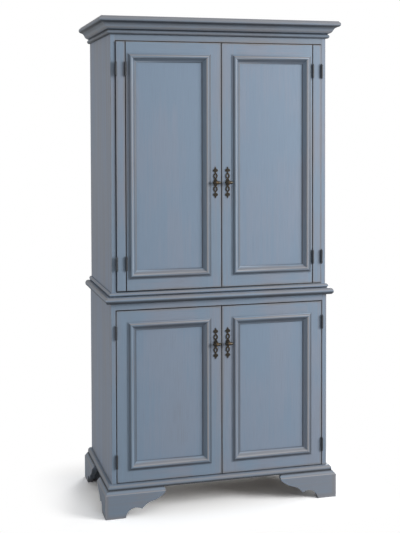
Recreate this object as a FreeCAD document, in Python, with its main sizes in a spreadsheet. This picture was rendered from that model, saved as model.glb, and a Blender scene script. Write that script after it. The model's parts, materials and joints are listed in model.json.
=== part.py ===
import FreeCAD, Part
import os
import re
from FreeCAD import Placement, Rotation, Vector

# A two-part painted wood television armoire.
# Frame: +X to the right, +Y to the back, +Z up, millimetres. The origin is on the floor,
# under the middle of the overall box.

SIZES = [
    # the stack, from the floor up
    ("foot_height", 110, "bracket feet"),
    ("base_frame_thick", 21, "mitred frame that the feet carry"),
    ("lower_case_height", 730, "side panels of the lower case"),
    ("lower_top_thick", 27, "round-edged board between the two cases"),
    ("upper_case_height", 1100, "side panels of the upper case"),
    ("lid_thick", 19, "top panel of the upper case"),
    # widths and depths of the cases
    ("upper_width", 916, "upper case, outside"),
    ("upper_depth", 500, "upper case, front edge to back"),
    ("lower_step", 4, "how far the lower case stands out past the upper, front and sides"),
    ("side_thick", 19, "side panels"),
    ("back_thick", 6, "back panels"),
    ("floor_thick", 20, "compartment floors"),
    ("upper_rail_height", 75, "frieze rail behind the crown"),
    ("lower_rail_height", 27, "rail under the round-edged board"),
    ("top_overhang", 24, "round-edged board past the lower case"),
    ("top_edge_round", 13, "radius of that board's edge"),
    # base frame and feet
    ("base_projection", 17, "base frame past the lower case"),
    ("base_frame_width", 70, "flat width of the base frame's members"),
    ("foot_projection", 32, "feet past the lower case"),
    ("foot_board", 22, "thickness of the feet's boards"),
    ("foot_bevel_height", 14, "bevel on the feet's top edge"),
    ("foot_bevel_depth", 12, "the same bevel, measured inwards"),
    ("foot_pad", 82, "straight part of a foot that stands on the floor"),
    ("front_foot_length", 247, "bracket foot along the front"),
    ("side_foot_length", 200, "bracket foot along the side"),
    ("rear_bracket_length", 120, "plain board of a rear foot, across the back"),
    ("glue_block", 42, "square block in the corner of each foot"),
    # mouldings on the cases
    ("crown_height", 70, "crown moulding"),
    ("crown_projection", 50, "crown moulding past the upper case"),
    ("bead_height", 17, "bead at the bottom of the upper case"),
    ("bead_projection", 10, "the same bead past the upper case"),
    # doors
    ("door_thick", 22, "door frames and hinged strips"),
    ("door_proud", 6, "upper doors in front of the upper case"),
    ("door_gap", 3, "gap round and between the doors"),
    ("strip_width", 36, "narrow strips hinged on both edges"),
    ("stop_clearance", 0.5, "between a closed door and what stops it"),
    ("moulding_margin", 45, "middle of the front to the doors' mouldings"),
    ("moulding_border", 46, "top and bottom of a door to its moulding"),
    ("upper_side_margin", 7, "upper doors' outer edges to their mouldings"),
    ("lower_side_margin", 46, "lower doors' outer edges to their mouldings"),
    ("moulding_width", 36, "raised moulding on the doors"),
    ("moulding_seat", 20, "part of the moulding's width that lies on the frame"),
    ("moulding_ridge", 9, "the moulding's ridge above the frame"),
    ("panel_thick", 8, "flat door panels"),
    ("panel_recess", 8, "door panel behind the frame's face"),
    ("panel_tongue", 8, "depth of the groove that holds the panel"),
    # hinges
    ("hinge_stand_off", 5, "hinge axis in front of the doors' faces"),
    ("barrel_radius", 4.5, "hinge barrel"),
    ("pin_radius", 2.2, "hinge pin"),
    ("pin_clearance", 0.05, "radial clearance on the pin"),
    ("barrel_length", 52, "hinge barrel and leaves"),
    ("knuckle_clearance", 0.2, "between knuckles, along the pin"),
    ("finial_length", 6, "pointed end of a hinge pin"),
    ("leaf_thick", 1.3, "hinge leaves"),
    ("leaf_depth", 21, "hinge leaf behind the axis"),
    ("upper_hinge_inset", 110, "upper doors' ends to their hinges' middles"),
    ("lower_hinge_inset", 87, "lower doors' ends to their hinges' middles"),
    # handles
    ("handle_margin", 26, "middle of the front to the handles' axes"),
    ("upper_handle_rise", 430, "upper doors' bottom edge to their handles' middles"),
    ("lower_handle_drop", 153, "lower doors' top edge to their handles' middles"),
    ("handle_length", 130, "pierced back plate"),
    ("handle_width", 20, "the same plate at its ends"),
    ("handle_plate_thick", 3, "back plate"),
    ("knob_stand_off", 22, "knob's middle in front of the door"),
    ("knob_width", 37, "oval knob, across"),
    ("knob_height", 15, "oval knob, up and down"),
    ("knob_depth", 15, "oval knob, front to back"),
    ("knob_bolt_radius", 2, "bolt that holds the knob through the door"),
    ("bolt_clearance", 0.05, "radial clearance on bolts, screws and pins in wood"),
    # inside
    ("shelf_thick", 18, "adjustable shelf"),
    ("shelf_height", 330, "shelf above the lower compartment's floor"),
    ("shelf_setback", 45, "shelf's front edge behind the lower case's front"),
    ("shelf_clearance", 1.5, "shelf's ends to the side panels"),
    ("shelf_pin_radius", 2.5, "pins under the shelf"),
    ("shelf_pin_grip", 10, "shelf pin inside the side panel"),
    ("shelf_pin_reach", 9, "shelf pin out of the side panel"),
    ("shelf_pin_inset", 50, "shelf's front and back edges to its pins"),
    ("shelf_seat_gap", 0.1, "shelf above its pins"),
    ("stop_depth", 18, "battens that stop the doors, front to back"),
    ("stop_drop", 16, "the battens below the rails"),
    ("catch_width", 44, "magnetic catch"),
    ("catch_height", 14, "magnetic catch"),
    ("strike_thick", 1.2, "steel strike on the door"),
    ("catch_air", 0.3, "between magnet and strike"),
    ("catch_margin", 40, "middle of the front to the catches"),
    ("screw_radius", 2.5, "screws that hold the cases together"),
    ("screw_head_radius", 5.5, "their heads"),
    ("screw_head_height", 3, "their heads"),
    ("screw_depth", 18, "their thread in the round-edged board"),
    ("screw_inset", 70, "screws to the upper case's inner walls and ends"),
    ("cable_hole_radius", 32, "cable outlet in the upper back panel"),
    ("cable_hole_level", 95, "cable outlet above the television's floor"),
]

doc = FreeCAD.newDocument("tv_armoire")
sheet = doc.addObject("Spreadsheet::Sheet", "sizes")
for row, (name, size, note) in enumerate(SIZES, start=1):
    sheet.set(f"A{row}", name)
    sheet.set(f"B{row}", str(size))
    sheet.set(f"C{row}", note)
    sheet.setAlias(f"B{row}", name)
doc.recompute()
NAMES = {name for name, size, note in SIZES}

# Levels and planes, as formulas of the sizes above.
LOWER_BOTTOM = "(foot_height + base_frame_thick)"
LOWER_TOP = f"({LOWER_BOTTOM} + lower_case_height)"
UPPER_BOTTOM = f"({LOWER_TOP} + lower_top_thick)"
UPPER_TOP = f"({UPPER_BOTTOM} + upper_case_height)"
OVERALL_TOP = f"({UPPER_TOP} + lid_thick)"
UPPER_HALF = "(upper_width / 2)"
UPPER_INNER = "(upper_width / 2 - side_thick)"
LOWER_HALF = "(upper_width / 2 + lower_step)"
LOWER_INNER = "(upper_width / 2 + lower_step - side_thick)"
BACK = "((upper_depth + crown_projection) / 2)"
UPPER_FRONT = f"({BACK} - upper_depth)"
LOWER_FRONT = f"({UPPER_FRONT} - lower_step)"
UPPER_FACE = f"({UPPER_FRONT} - door_proud)"
LOWER_FACE = LOWER_FRONT
UPPER_STOP = f"({UPPER_FACE} + door_thick + stop_clearance)"
LOWER_STOP = f"({LOWER_FACE} + door_thick + stop_clearance)"
UPPER_FLOOR_TOP = f"({UPPER_BOTTOM} + floor_thick)"
LOWER_FLOOR_TOP = f"({LOWER_BOTTOM} + floor_thick)"
UPPER_RAIL_BOTTOM = f"({UPPER_TOP} - upper_rail_height)"
LOWER_RAIL_BOTTOM = f"({LOWER_TOP} - lower_rail_height)"
# The doors' outlines. Every distance across the front is counted from the middle.
UPPER_DOOR_BOTTOM = f"({UPPER_FLOOR_TOP} + door_gap)"
UPPER_DOOR_TOP = f"({UPPER_RAIL_BOTTOM} - door_gap)"
LOWER_DOOR_BOTTOM = f"({LOWER_BOTTOM} + door_gap)"
LOWER_DOOR_TOP = f"({LOWER_RAIL_BOTTOM} - door_gap)"
DOOR_INNER = "(door_gap / 2)"
STRIP_OUTER = f"({UPPER_INNER} - door_gap)"
STRIP_INNER = f"({STRIP_OUTER} - strip_width)"
UPPER_DOOR_OUTER = f"({STRIP_INNER} - door_gap)"
LOWER_DOOR_OUTER = f"({LOWER_INNER} - door_gap)"
CASE_AXIS = f"({UPPER_INNER} - door_gap / 2)"
STRIP_AXIS = f"({STRIP_INNER} - door_gap / 2)"
LOWER_AXIS = f"({LOWER_INNER} - door_gap / 2)"

X_AXIS, Y_AXIS, Z_AXIS = Vector(1, 0, 0), Vector(0, 1, 0), Vector(0, 0, 1)
nodes = []


def bound(formula):
    """The formula with every size's name pointing into the sheet."""
    return re.sub(r"[a-z]\w*", lambda word: "sizes." + word[0] if word[0] in NAMES else word[0], str(formula))


def value(formula):
    """The formula's number in millimetres."""
    return float(sheet.evalExpression(str(formula)))


def bind(thing, formulas):
    """Tie properties of a document object to formulas."""
    for prop, formula in formulas.items():
        thing.setExpression(prop, bound(formula))


def place(thing, x, y, z, turn=None):
    """Move a finished object; turn is a fixed rotation."""
    if turn is not None:
        thing.Placement = Placement(Vector(), turn)
    bind(thing, {"Placement.Base.x": x, "Placement.Base.y": y, "Placement.Base.z": z})
    return thing


def node(label, *things):
    """A sub-part: one object, or a group of separate solids."""
    if len(things) == 1:
        part = things[0]
    else:
        part = doc.addObject("Part::Compound", label + "_group")
        part.Links = list(things)
    part.Label = label
    nodes.append(part)
    return part


def block(name, x, y, z):
    """A box between two formulas along each axis."""
    box = doc.addObject("Part::Box", name)
    for prop, (low, high) in zip(("Length", "Width", "Height"), (x, y, z)):
        bind(box, {prop: f"({high}) - ({low})"})
    return place(box, x[0], y[0], z[0])


def rod(name, radius, length, x, y, z, turn=None):
    """A cylinder from its foot at x, y, z, upright or turned."""
    cylinder = doc.addObject("Part::Cylinder", name)
    bind(cylinder, {"Radius": radius, "Height": length})
    return place(cylinder, x, y, z, turn)


def boolean(kind, name, *things):
    """Part::MultiFuse or Part::MultiCommon of several objects."""
    result = doc.addObject(kind, name)
    result.Shapes = list(things)
    return result


def cut(name, base, *tools):
    """The base without the tools."""
    for count, tool in enumerate(tools):
        result = doc.addObject("Part::Cut", f"{name}_cut{count}")
        result.Base = base
        result.Tool = tool
        base = result
    return base


def sides(side, near, far):
    """Low and high X for a span on the right (+1) or left (-1)."""
    return (near, far) if side > 0 else (f"-({far})", f"-({near})")


def sketch_of(name, *segments):
    """A closed sketch in its own XY plane; two points make a line and three an arc."""
    sketch = doc.addObject("Sketcher::SketchObject", name)
    for points in segments:
        spots = [Vector(value(first), value(second), 0) for first, second in points]
        if len(spots) == 2:
            sketch.addGeometry(Part.LineSegment(*spots), False)
        else:
            sketch.addGeometry(Part.Arc(*spots), False)
    return sketch


def extruded(name, sketch, along, length, turn):
    """A solid prism of a sketch, pushed along its normal and then turned into place."""
    prism = doc.addObject("Part::Extrusion", name)
    prism.Base = sketch
    prism.DirMode = "Custom"
    prism.Dir = Z_AXIS
    prism.Solid = True
    bind(prism, {"LengthFwd": length})
    return place(prism, *along, turn)


# Profile sketches have X outwards from the case and Y up. This turn lays such a sketch
# across a run whose outer side faces -Y, and its prism grows towards -X.
STAND_UP = Rotation(X_AXIS, 90)
ACROSS_RUN = Rotation(Z_AXIS, -90) * STAND_UP


def mitred_run(name, profile, length, outer, inner, height, start, end):
    """A length of moulding along +X, its outer side towards -Y.

    outer and inner are how far the profile reaches to each side of the reference line.
    start and end are 1 for a mitred end and 0 for a square one.
    """
    full = f"({length}) + 2 * ({outer})"
    prism = extruded(name + "_prism", profile, (f"({length}) + ({outer})", 0, 0), full, ACROSS_RUN)
    plan = doc.addObject("Part::Wedge", name + "_plan")
    bind(plan, {
        "Ymin": f"-({outer})", "Ymax": inner,
        "Xmin": f"-({outer}) * {start}", "Xmax": f"({length}) + ({outer}) * {end}",
        "X2min": f"({inner}) * {start}", "X2max": f"({length}) - ({inner}) * {end}",
        "Zmin": f"-({height})", "Zmax": height, "Z2min": f"-({height})", "Z2max": height,
    })
    return boolean("Part::MultiCommon", name, prism, plan)


def u_shaped(name, profile, half, front, outer, inner, height, level):
    """Front, left and right lengths of a moulding that goes round a case."""
    front_run = mitred_run(f"{name}_front", profile, f"2 * {half}", outer, inner, height, 1, 1)
    place(front_run, f"-{half}", front, level)
    depth = f"({BACK} - {front})"
    left_run = mitred_run(f"{name}_left", profile, depth, outer, inner, height, 0, 1)
    place(left_run, f"-{half}", BACK, level, Rotation(Z_AXIS, -90))
    right_run = mitred_run(f"{name}_right", profile, depth, outer, inner, height, 1, 0)
    place(right_run, half, front, level, Rotation(Z_AXIS, 90))
    return front_run, left_run, right_run


# Lower case: two sides, floor, rail, back, shelf on four pins.
SHELF_BOTTOM = f"({LOWER_FLOOR_TOP} + shelf_height)"
SHELF_FRONT = f"({LOWER_FRONT} + shelf_setback)"
SHELF_BACK = f"({BACK} - back_thick - shelf_clearance)"
PIN_LEVEL = f"({SHELF_BOTTOM} - shelf_seat_gap - shelf_pin_radius)"
PIN_SPOTS = [f"({SHELF_FRONT} + shelf_pin_inset)", f"({SHELF_BACK} - shelf_pin_inset)"]
POINT_RIGHT = Rotation(Y_AXIS, 90)


def shelf_pin(name, side, y, radius, grip):
    """A pin across a side panel's inner face, and the hole for it."""
    low, high = sides(side, f"({LOWER_INNER} - shelf_pin_reach)", f"({LOWER_INNER} + {grip})")
    return rod(name, radius, f"({high}) - ({low})", low, y, PIN_LEVEL, POINT_RIGHT)


def lower_case():
    pins = []
    for side, word in ((-1, "left"), (1, "right")):
        panel = block(f"lower_side_{word}_board", sides(side, LOWER_INNER, LOWER_HALF),
                      (LOWER_FRONT, BACK), (LOWER_BOTTOM, LOWER_TOP))
        holes = []
        for count, y in enumerate(PIN_SPOTS):
            pins.append(shelf_pin(f"shelf_pin_{word}_{count}", side, y, "shelf_pin_radius", "shelf_pin_grip"))
            holes.append(shelf_pin(f"shelf_hole_{word}_{count}", side, y,
                                   "shelf_pin_radius + bolt_clearance", "shelf_pin_grip"))
        node(f"lower_side_{word}", cut(f"lower_side_{word}", panel, *holes))
    across = (f"-{LOWER_INNER}", LOWER_INNER)
    node("lower_floor", block("lower_floor", across, (LOWER_STOP, f"{BACK} - back_thick"),
                              (LOWER_BOTTOM, LOWER_FLOOR_TOP)))
    node("lower_top_rail", block("lower_top_rail", across, (LOWER_FRONT, LOWER_STOP),
                                 (LOWER_RAIL_BOTTOM, LOWER_TOP)))
    node("lower_back", block("lower_back", across, (f"{BACK} - back_thick", BACK), (LOWER_BOTTOM, LOWER_TOP)))
    node("lower_shelf", block("lower_shelf",
                              (f"shelf_clearance - {LOWER_INNER}", f"{LOWER_INNER} - shelf_clearance"),
                              (SHELF_FRONT, SHELF_BACK), (SHELF_BOTTOM, f"{SHELF_BOTTOM} + shelf_thick")))
    node("lower_shelf_pins", *pins)


# Round-edged board on the lower case, with mitred half-round edges at the front and sides.
TOP_HALF = f"({LOWER_HALF} + top_overhang)"
TOP_FRONT = f"({LOWER_FRONT} - top_overhang)"
SCREW_X = f"({UPPER_INNER} - screw_inset)"
SCREW_Y = [f"({UPPER_FRONT} + screw_inset)", f"({BACK} - screw_inset)"]


def round_edge(edge, way):
    """The half-round end of the board's section at X = edge, facing way, drawn upwards."""
    inset = f"({edge}) - ({way}) * top_edge_round"
    bulge_out = f"({edge}) - ({way}) * top_edge_round * 0.2929"
    bulge_in = "top_edge_round * 0.2929"
    low, high = "top_edge_round", "lower_top_thick - top_edge_round"
    return [
        ((inset, 0), (bulge_out, bulge_in), (edge, low)),
        ((edge, low), (edge, high)),
        ((edge, high), (bulge_out, f"lower_top_thick - {bulge_in}"), (inset, "lower_top_thick")),
    ]


def screws(name, radius, low, high):
    """Four upright rods where the cases are screwed together."""
    found = []
    for side in (-1, 1):
        for y in SCREW_Y:
            found.append(rod(f"{name}_{len(found)}", radius, f"({high}) - ({low})",
                             f"{side} * {SCREW_X}", y, low))
    return found


def top_board():
    front_inset = f"-({TOP_FRONT}) - top_edge_round"
    front_section = sketch_of(
        "top_board_front_section",
        *round_edge(f"-({TOP_FRONT})", 1),
        ((front_inset, 0), (f"-{BACK}", 0)),
        ((f"-{BACK}", 0), (f"-{BACK}", "lower_top_thick")),
        ((f"-{BACK}", "lower_top_thick"), (front_inset, "lower_top_thick")))
    lengthways = extruded("top_board_lengthways", front_section, (TOP_HALF, 0, LOWER_TOP),
                          f"2 * {TOP_HALF}", ACROSS_RUN)
    side_inset = f"{TOP_HALF} - top_edge_round"
    side_section = sketch_of(
        "top_board_side_section",
        *round_edge(TOP_HALF, 1), *round_edge(f"-{TOP_HALF}", -1),
        ((side_inset, 0), (f"-({side_inset})", 0)),
        ((side_inset, "lower_top_thick"), (f"-({side_inset})", "lower_top_thick")))
    crossways = extruded("top_board_crossways", side_section, (0, BACK, LOWER_TOP),
                         f"{BACK} - {TOP_FRONT}", STAND_UP)
    board = boolean("Part::MultiCommon", "top_board_whole", lengthways, crossways)
    holes = screws("top_board_hole", "screw_radius + bolt_clearance",
                   f"{UPPER_BOTTOM} - screw_depth - bolt_clearance", UPPER_BOTTOM)
    node("lower_top_board", cut("lower_top_board", board, *holes))


# Base frame: four lengths laid flat under the lower case, with a moulded outer edge.
def base_frame():
    profile = sketch_of(
        "base_profile",
        (("base_projection - base_frame_width", 0), ("base_projection", 0)),
        (("base_projection", 0), ("base_projection", "base_frame_thick * 0.4")),
        (("base_projection", "base_frame_thick * 0.4"),
         ("base_projection * 0.8", "base_frame_thick * 0.83"),
         ("base_projection * 0.2", "base_frame_thick")),
        (("base_projection * 0.2", "base_frame_thick"),
         ("base_projection - base_frame_width", "base_frame_thick")),
        (("base_projection - base_frame_width", "base_frame_thick"),
         ("base_projection - base_frame_width", 0)))
    inner = "(base_frame_width - base_projection)"
    lengths = u_shaped("base_frame", profile, LOWER_HALF, LOWER_FRONT, "base_projection", inner,
                       "base_frame_thick", "foot_height")
    rear = block("base_frame_rear", (f"{inner} - {LOWER_HALF}", f"{LOWER_HALF} - {inner}"),
                 (f"{BACK} - base_frame_width", BACK), ("foot_height", LOWER_BOTTOM))
    node("base_frame", *lengths, rear)


# Bracket feet: a front and a side board mitred together, with a block in the corner.
FOOT_HALF = f"({LOWER_HALF} + foot_projection)"
FOOT_FRONT = f"({LOWER_FRONT} - foot_projection)"


def bracket_outline(name, length):
    """A bracket foot seen square on: X from the corner along the board, Y up."""
    scallop = f"({length} - foot_pad)"
    toe = "foot_pad"
    knee = (f"{toe} + {scallop} * 0.14", "foot_height * 0.32")
    cusp = (f"{toe} + {scallop} * 0.41", "foot_height * 0.285")
    waist = (f"{toe} + {scallop} * 0.65", "foot_height * 0.54")
    throat = (f"{toe} + {scallop} * 0.92", "foot_height * 0.73")
    nose = (length, "foot_height * 0.91")
    shoulder = (f"{toe} + {scallop} * 0.955", "foot_height")
    return sketch_of(
        name,
        ((0, 0), (toe, 0)),
        ((toe, 0), (f"{toe} + {scallop} * 0.04", "foot_height * 0.18"), knee),
        (knee, (f"{toe} + {scallop} * 0.28", "foot_height * 0.355"), cusp),
        (cusp, (f"{toe} + {scallop} * 0.50", "foot_height * 0.43"), waist),
        (waist, (f"{toe} + {scallop} * 0.80", "foot_height * 0.62"), throat),
        (throat, (f"{toe} + {scallop} * 0.98", "foot_height * 0.81"), nose),
        (nose, (f"{toe} + {scallop} * 0.988", "foot_height * 0.97"), shoulder),
        (shoulder, (0, "foot_height")),
        ((0, "foot_height"), (0, 0)))


def foot_profile():
    """A foot board's section, measured outwards from the lower case's faces."""
    near, far = "foot_projection - foot_board", "foot_projection"
    return sketch_of(
        "foot_profile",
        ((near, 0), (far, 0)),
        ((far, 0), (far, "foot_height - foot_bevel_height")),
        ((far, "foot_height - foot_bevel_height"), (f"{far} - foot_bevel_depth", "foot_height")),
        ((f"{far} - foot_bevel_depth", "foot_height"), (near, "foot_height")),
        ((near, "foot_height"), (near, 0)))


def foot_board(name, profile, outline, length, corner, mitred):
    """One board along +X, its outer side towards -Y and its corner at the start or the end.

    A mitred corner reaches past the case by the feet's projection; a square one ends with the case.
    """
    past = "foot_projection" if mitred else 0
    reach = f"(({length}) - ({past}))"
    start = int(mitred and corner == "start")
    end = int(mitred and corner == "end")
    run = mitred_run(name + "_run", profile, reach, "foot_projection", 0, "foot_height * 1.5", start, end)
    if corner == "start":
        spot, turn = (f"-({past})", 0, 0), STAND_UP
    else:
        spot, turn = (f"{reach} + ({past})", "-foot_projection", 0), Rotation(Z_AXIS, 180) * STAND_UP
    scallops = extruded(name + "_scallops", outline, spot, "foot_projection", turn)
    return boolean("Part::MultiCommon", name, run, scallops)


def feet():
    profile = foot_profile()
    long_outline = bracket_outline("front_bracket_outline", "front_foot_length")
    short_outline = bracket_outline("side_bracket_outline", "side_foot_length")
    rear_outline = sketch_of(
        "rear_bracket_outline",
        ((0, 0), ("foot_board * 2", 0)),
        (("foot_board * 2", 0), ("rear_bracket_length", "foot_height * 0.7")),
        (("rear_bracket_length", "foot_height * 0.7"), ("rear_bracket_length", "foot_height")),
        (("rear_bracket_length", "foot_height"), (0, "foot_height")),
        ((0, "foot_height"), (0, 0)))
    board_inner = f"({LOWER_HALF} + foot_projection - foot_board)"
    block_inner = f"({board_inner} - glue_block)"
    front_inner = f"({LOWER_FRONT} - foot_projection + foot_board)"
    rear_inner = f"({BACK} - foot_board)"
    front_reach = "(front_foot_length - foot_projection)"
    side_reach = "(side_foot_length - foot_projection)"
    for side, word in ((-1, "left"), (1, "right")):
        corner, other = ("start", "end") if side < 0 else ("end", "start")
        along = Rotation(Z_AXIS, 90 * side)
        case_edge = f"{side} * {LOWER_HALF}"
        block_x = sides(side, block_inner, board_inner)

        front = foot_board(f"front_foot_{word}_front", profile, long_outline,
                           "front_foot_length", corner, True)
        place(front, case_edge if side < 0 else f"{case_edge} - {front_reach}", LOWER_FRONT, 0)
        flank = foot_board(f"front_foot_{word}_side", profile, short_outline,
                           "side_foot_length", other, True)
        place(flank, case_edge, f"{LOWER_FRONT} + {side_reach}" if side < 0 else LOWER_FRONT, 0, along)
        corner_block = block(f"front_foot_{word}_block", block_x,
                             (front_inner, f"{front_inner} + glue_block"), (0, "foot_height"))
        node(f"foot_front_{word}", front, flank, corner_block)

        flank = foot_board(f"rear_foot_{word}_side", profile, short_outline,
                           "side_foot_length", corner, False)
        place(flank, case_edge, BACK if side < 0 else f"{BACK} - side_foot_length", 0, along)
        rear_turn = STAND_UP if side < 0 else Rotation(Z_AXIS, 180) * STAND_UP
        rear_spot = (f"{side} * {board_inner}", BACK if side < 0 else rear_inner, 0)
        rear = extruded(f"rear_foot_{word}_back", rear_outline, rear_spot, "foot_board", rear_turn)
        corner_block = block(f"rear_foot_{word}_block", block_x,
                             (f"{rear_inner} - glue_block", rear_inner), (0, "foot_height"))
        node(f"foot_rear_{word}", flank, rear, corner_block)


# Upper case: two sides, floor, frieze rail, lid, back with a cable outlet.
CABLE_LEVEL = f"({UPPER_FLOOR_TOP} + cable_hole_level)"
HEAD_BOTTOM = f"({UPPER_FLOOR_TOP} - screw_head_height)"


def upper_case():
    for side, word in ((-1, "left"), (1, "right")):
        node(f"upper_side_{word}", block(f"upper_side_{word}", sides(side, UPPER_INNER, UPPER_HALF),
                                         (UPPER_FRONT, BACK), (UPPER_BOTTOM, UPPER_TOP)))
    across = (f"-{UPPER_INNER}", UPPER_INNER)
    floor = block("upper_floor_board", across, (UPPER_FRONT, f"{BACK} - back_thick"),
                  (UPPER_BOTTOM, UPPER_FLOOR_TOP))
    holes = screws("upper_floor_hole", "screw_radius + bolt_clearance", UPPER_BOTTOM, UPPER_FLOOR_TOP)
    recesses = screws("upper_floor_recess", "screw_head_radius + bolt_clearance",
                      HEAD_BOTTOM, UPPER_FLOOR_TOP)
    node("upper_floor", cut("upper_floor", floor, *holes, *recesses))
    node("upper_top_rail", block("upper_top_rail", across, (UPPER_FRONT, UPPER_STOP),
                                 (UPPER_RAIL_BOTTOM, UPPER_TOP)))
    node("upper_top_panel", block("upper_top_panel", (f"-{UPPER_HALF}", UPPER_HALF), (UPPER_FRONT, BACK),
                                  (UPPER_TOP, OVERALL_TOP)))
    back = block("upper_back_board", across, (f"{BACK} - back_thick", BACK), (UPPER_BOTTOM, UPPER_TOP))
    outlet = rod("cable_outlet", "cable_hole_radius", "back_thick", 0, BACK, CABLE_LEVEL, STAND_UP)
    node("upper_back", cut("upper_back", back, outlet))


def case_mouldings():
    bead = sketch_of(
        "bead_profile",
        ((0, 0), ("bead_projection * 0.4", 0)),
        (("bead_projection * 0.4", 0), ("bead_projection", "bead_height / 2"),
         ("bead_projection * 0.4", "bead_height")),
        (("bead_projection * 0.4", "bead_height"), (0, "bead_height")),
        ((0, "bead_height"), (0, 0)))
    node("waist_bead", *u_shaped("waist_bead", bead, UPPER_HALF, UPPER_FRONT, "bead_projection", 0,
                                 "bead_height", UPPER_BOTTOM))

    def at(out, up):
        return (f"crown_projection * {out}", f"crown_height * {up}")

    crown = sketch_of(
        "crown_profile",
        (at(0, 0), at(0.08, 0)),
        (at(0.08, 0), at(0.26, 0.12), at(0.13, 0.24)),
        (at(0.13, 0.24), at(0.16, 0.27)),
        (at(0.16, 0.27), at(0.38, 0.35), at(0.49, 0.46)),
        (at(0.49, 0.46), at(0.61, 0.59), at(0.82, 0.665)),
        (at(0.82, 0.665), at(0.88, 0.68)),
        (at(0.88, 0.68), at(1, 0.82), at(0.88, 0.96)),
        (at(0.88, 0.96), at(0.84, 1)),
        (at(0.84, 1), at(0, 1)),
        (at(0, 1), at(0, 0)))
    node("crown_moulding", *u_shaped("crown", crown, UPPER_HALF, UPPER_FRONT, "crown_projection", 0,
                                     "crown_height", f"{OVERALL_TOP} - crown_height"))


# Screws through the upper floor into the round-edged board, their heads sunk flush; door stops
# and magnetic catches.
def fittings():
    whole = []
    shanks = screws("section_shank", "screw_radius", f"{UPPER_BOTTOM} - screw_depth", UPPER_FLOOR_TOP)
    heads = screws("section_head", "screw_head_radius", HEAD_BOTTOM, UPPER_FLOOR_TOP)
    for count, pair in enumerate(zip(shanks, heads)):
        whole.append(boolean("Part::MultiFuse", f"section_screw_{count}", *pair))
    node("section_screws", *whole)

    upper = block("upper_door_stop", (f"-{UPPER_INNER}", UPPER_INNER),
                  (UPPER_STOP, f"{UPPER_STOP} + stop_depth"),
                  (f"{UPPER_RAIL_BOTTOM} - stop_drop", f"{UPPER_RAIL_BOTTOM} + stop_drop"))
    lower = block("lower_door_stop", (f"-{LOWER_INNER}", LOWER_INNER),
                  (LOWER_STOP, f"{LOWER_STOP} + stop_depth"),
                  (f"{LOWER_RAIL_BOTTOM} - stop_drop", LOWER_TOP))
    node("door_stops", upper, lower)

    magnets = []
    rows = ((UPPER_RAIL_BOTTOM, UPPER_FACE, UPPER_STOP), (LOWER_RAIL_BOTTOM, LOWER_FACE, LOWER_STOP))
    for rail, face, stop in rows:
        for side in (-1, 1):
            front = f"{face} + door_thick + strike_thick + catch_air"
            x = sides(side, "catch_margin - catch_width / 2", "catch_margin + catch_width / 2")
            magnets.append(block(f"door_catch_{len(magnets)}", x, (front, f"{stop} + stop_depth"),
                                 (f"{rail} - stop_drop - catch_height", f"{rail} - stop_drop")))
    node("door_catches", *magnets)


# Doors: two stiles and two rails with a groove all round, a flat panel held in the groove and
# a raised moulding of four mitred lengths that laps over the joint.
# Each pair's outer edge, its mouldings' outer edge, bottom, top, face and handles' level.
UPPER_PAIR = (
    UPPER_DOOR_OUTER, f"({UPPER_DOOR_OUTER} - upper_side_margin)", UPPER_DOOR_BOTTOM,
    UPPER_DOOR_TOP, UPPER_FACE, f"({UPPER_DOOR_BOTTOM} + upper_handle_rise)")
LOWER_PAIR = (
    LOWER_DOOR_OUTER, f"({LOWER_DOOR_OUTER} - lower_side_margin)", LOWER_DOOR_BOTTOM,
    LOWER_DOOR_TOP, LOWER_FACE, f"({LOWER_DOOR_TOP} - lower_handle_drop)")
DOORS = {
    "upper_left": (-1, *UPPER_PAIR), "upper_right": (1, *UPPER_PAIR),
    "lower_left": (-1, *LOWER_PAIR), "lower_right": (1, *LOWER_PAIR),
}
SIGHT_INNER = "(moulding_margin + moulding_seat)"


def door_moulding_profile():
    """X is minus the distance from the moulding's outer edge, Y its height over the frame."""
    def at(across, up):
        return (f"-moulding_width * {across}", f"moulding_ridge * {up}")

    lip = ("-moulding_width", "moulding_ridge * 0.25 - panel_recess")
    return sketch_of(
        "door_moulding_profile",
        ((0, 0), at(0, 0.26)),
        (at(0, 0.26), at(0.1, 0.36), at(0.18, 0.66)),
        (at(0.18, 0.66), at(0.40, 1), at(0.61, 0.62)),
        (at(0.61, 0.62), at(0.79, -0.2), lip),
        (lip, ("-moulding_width", "-panel_recess")),
        (("-moulding_width", "-panel_recess"), ("-moulding_seat", "-panel_recess")),
        (("-moulding_seat", "-panel_recess"), ("-moulding_seat", 0)),
        (("-moulding_seat", 0), (0, 0)))


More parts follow.
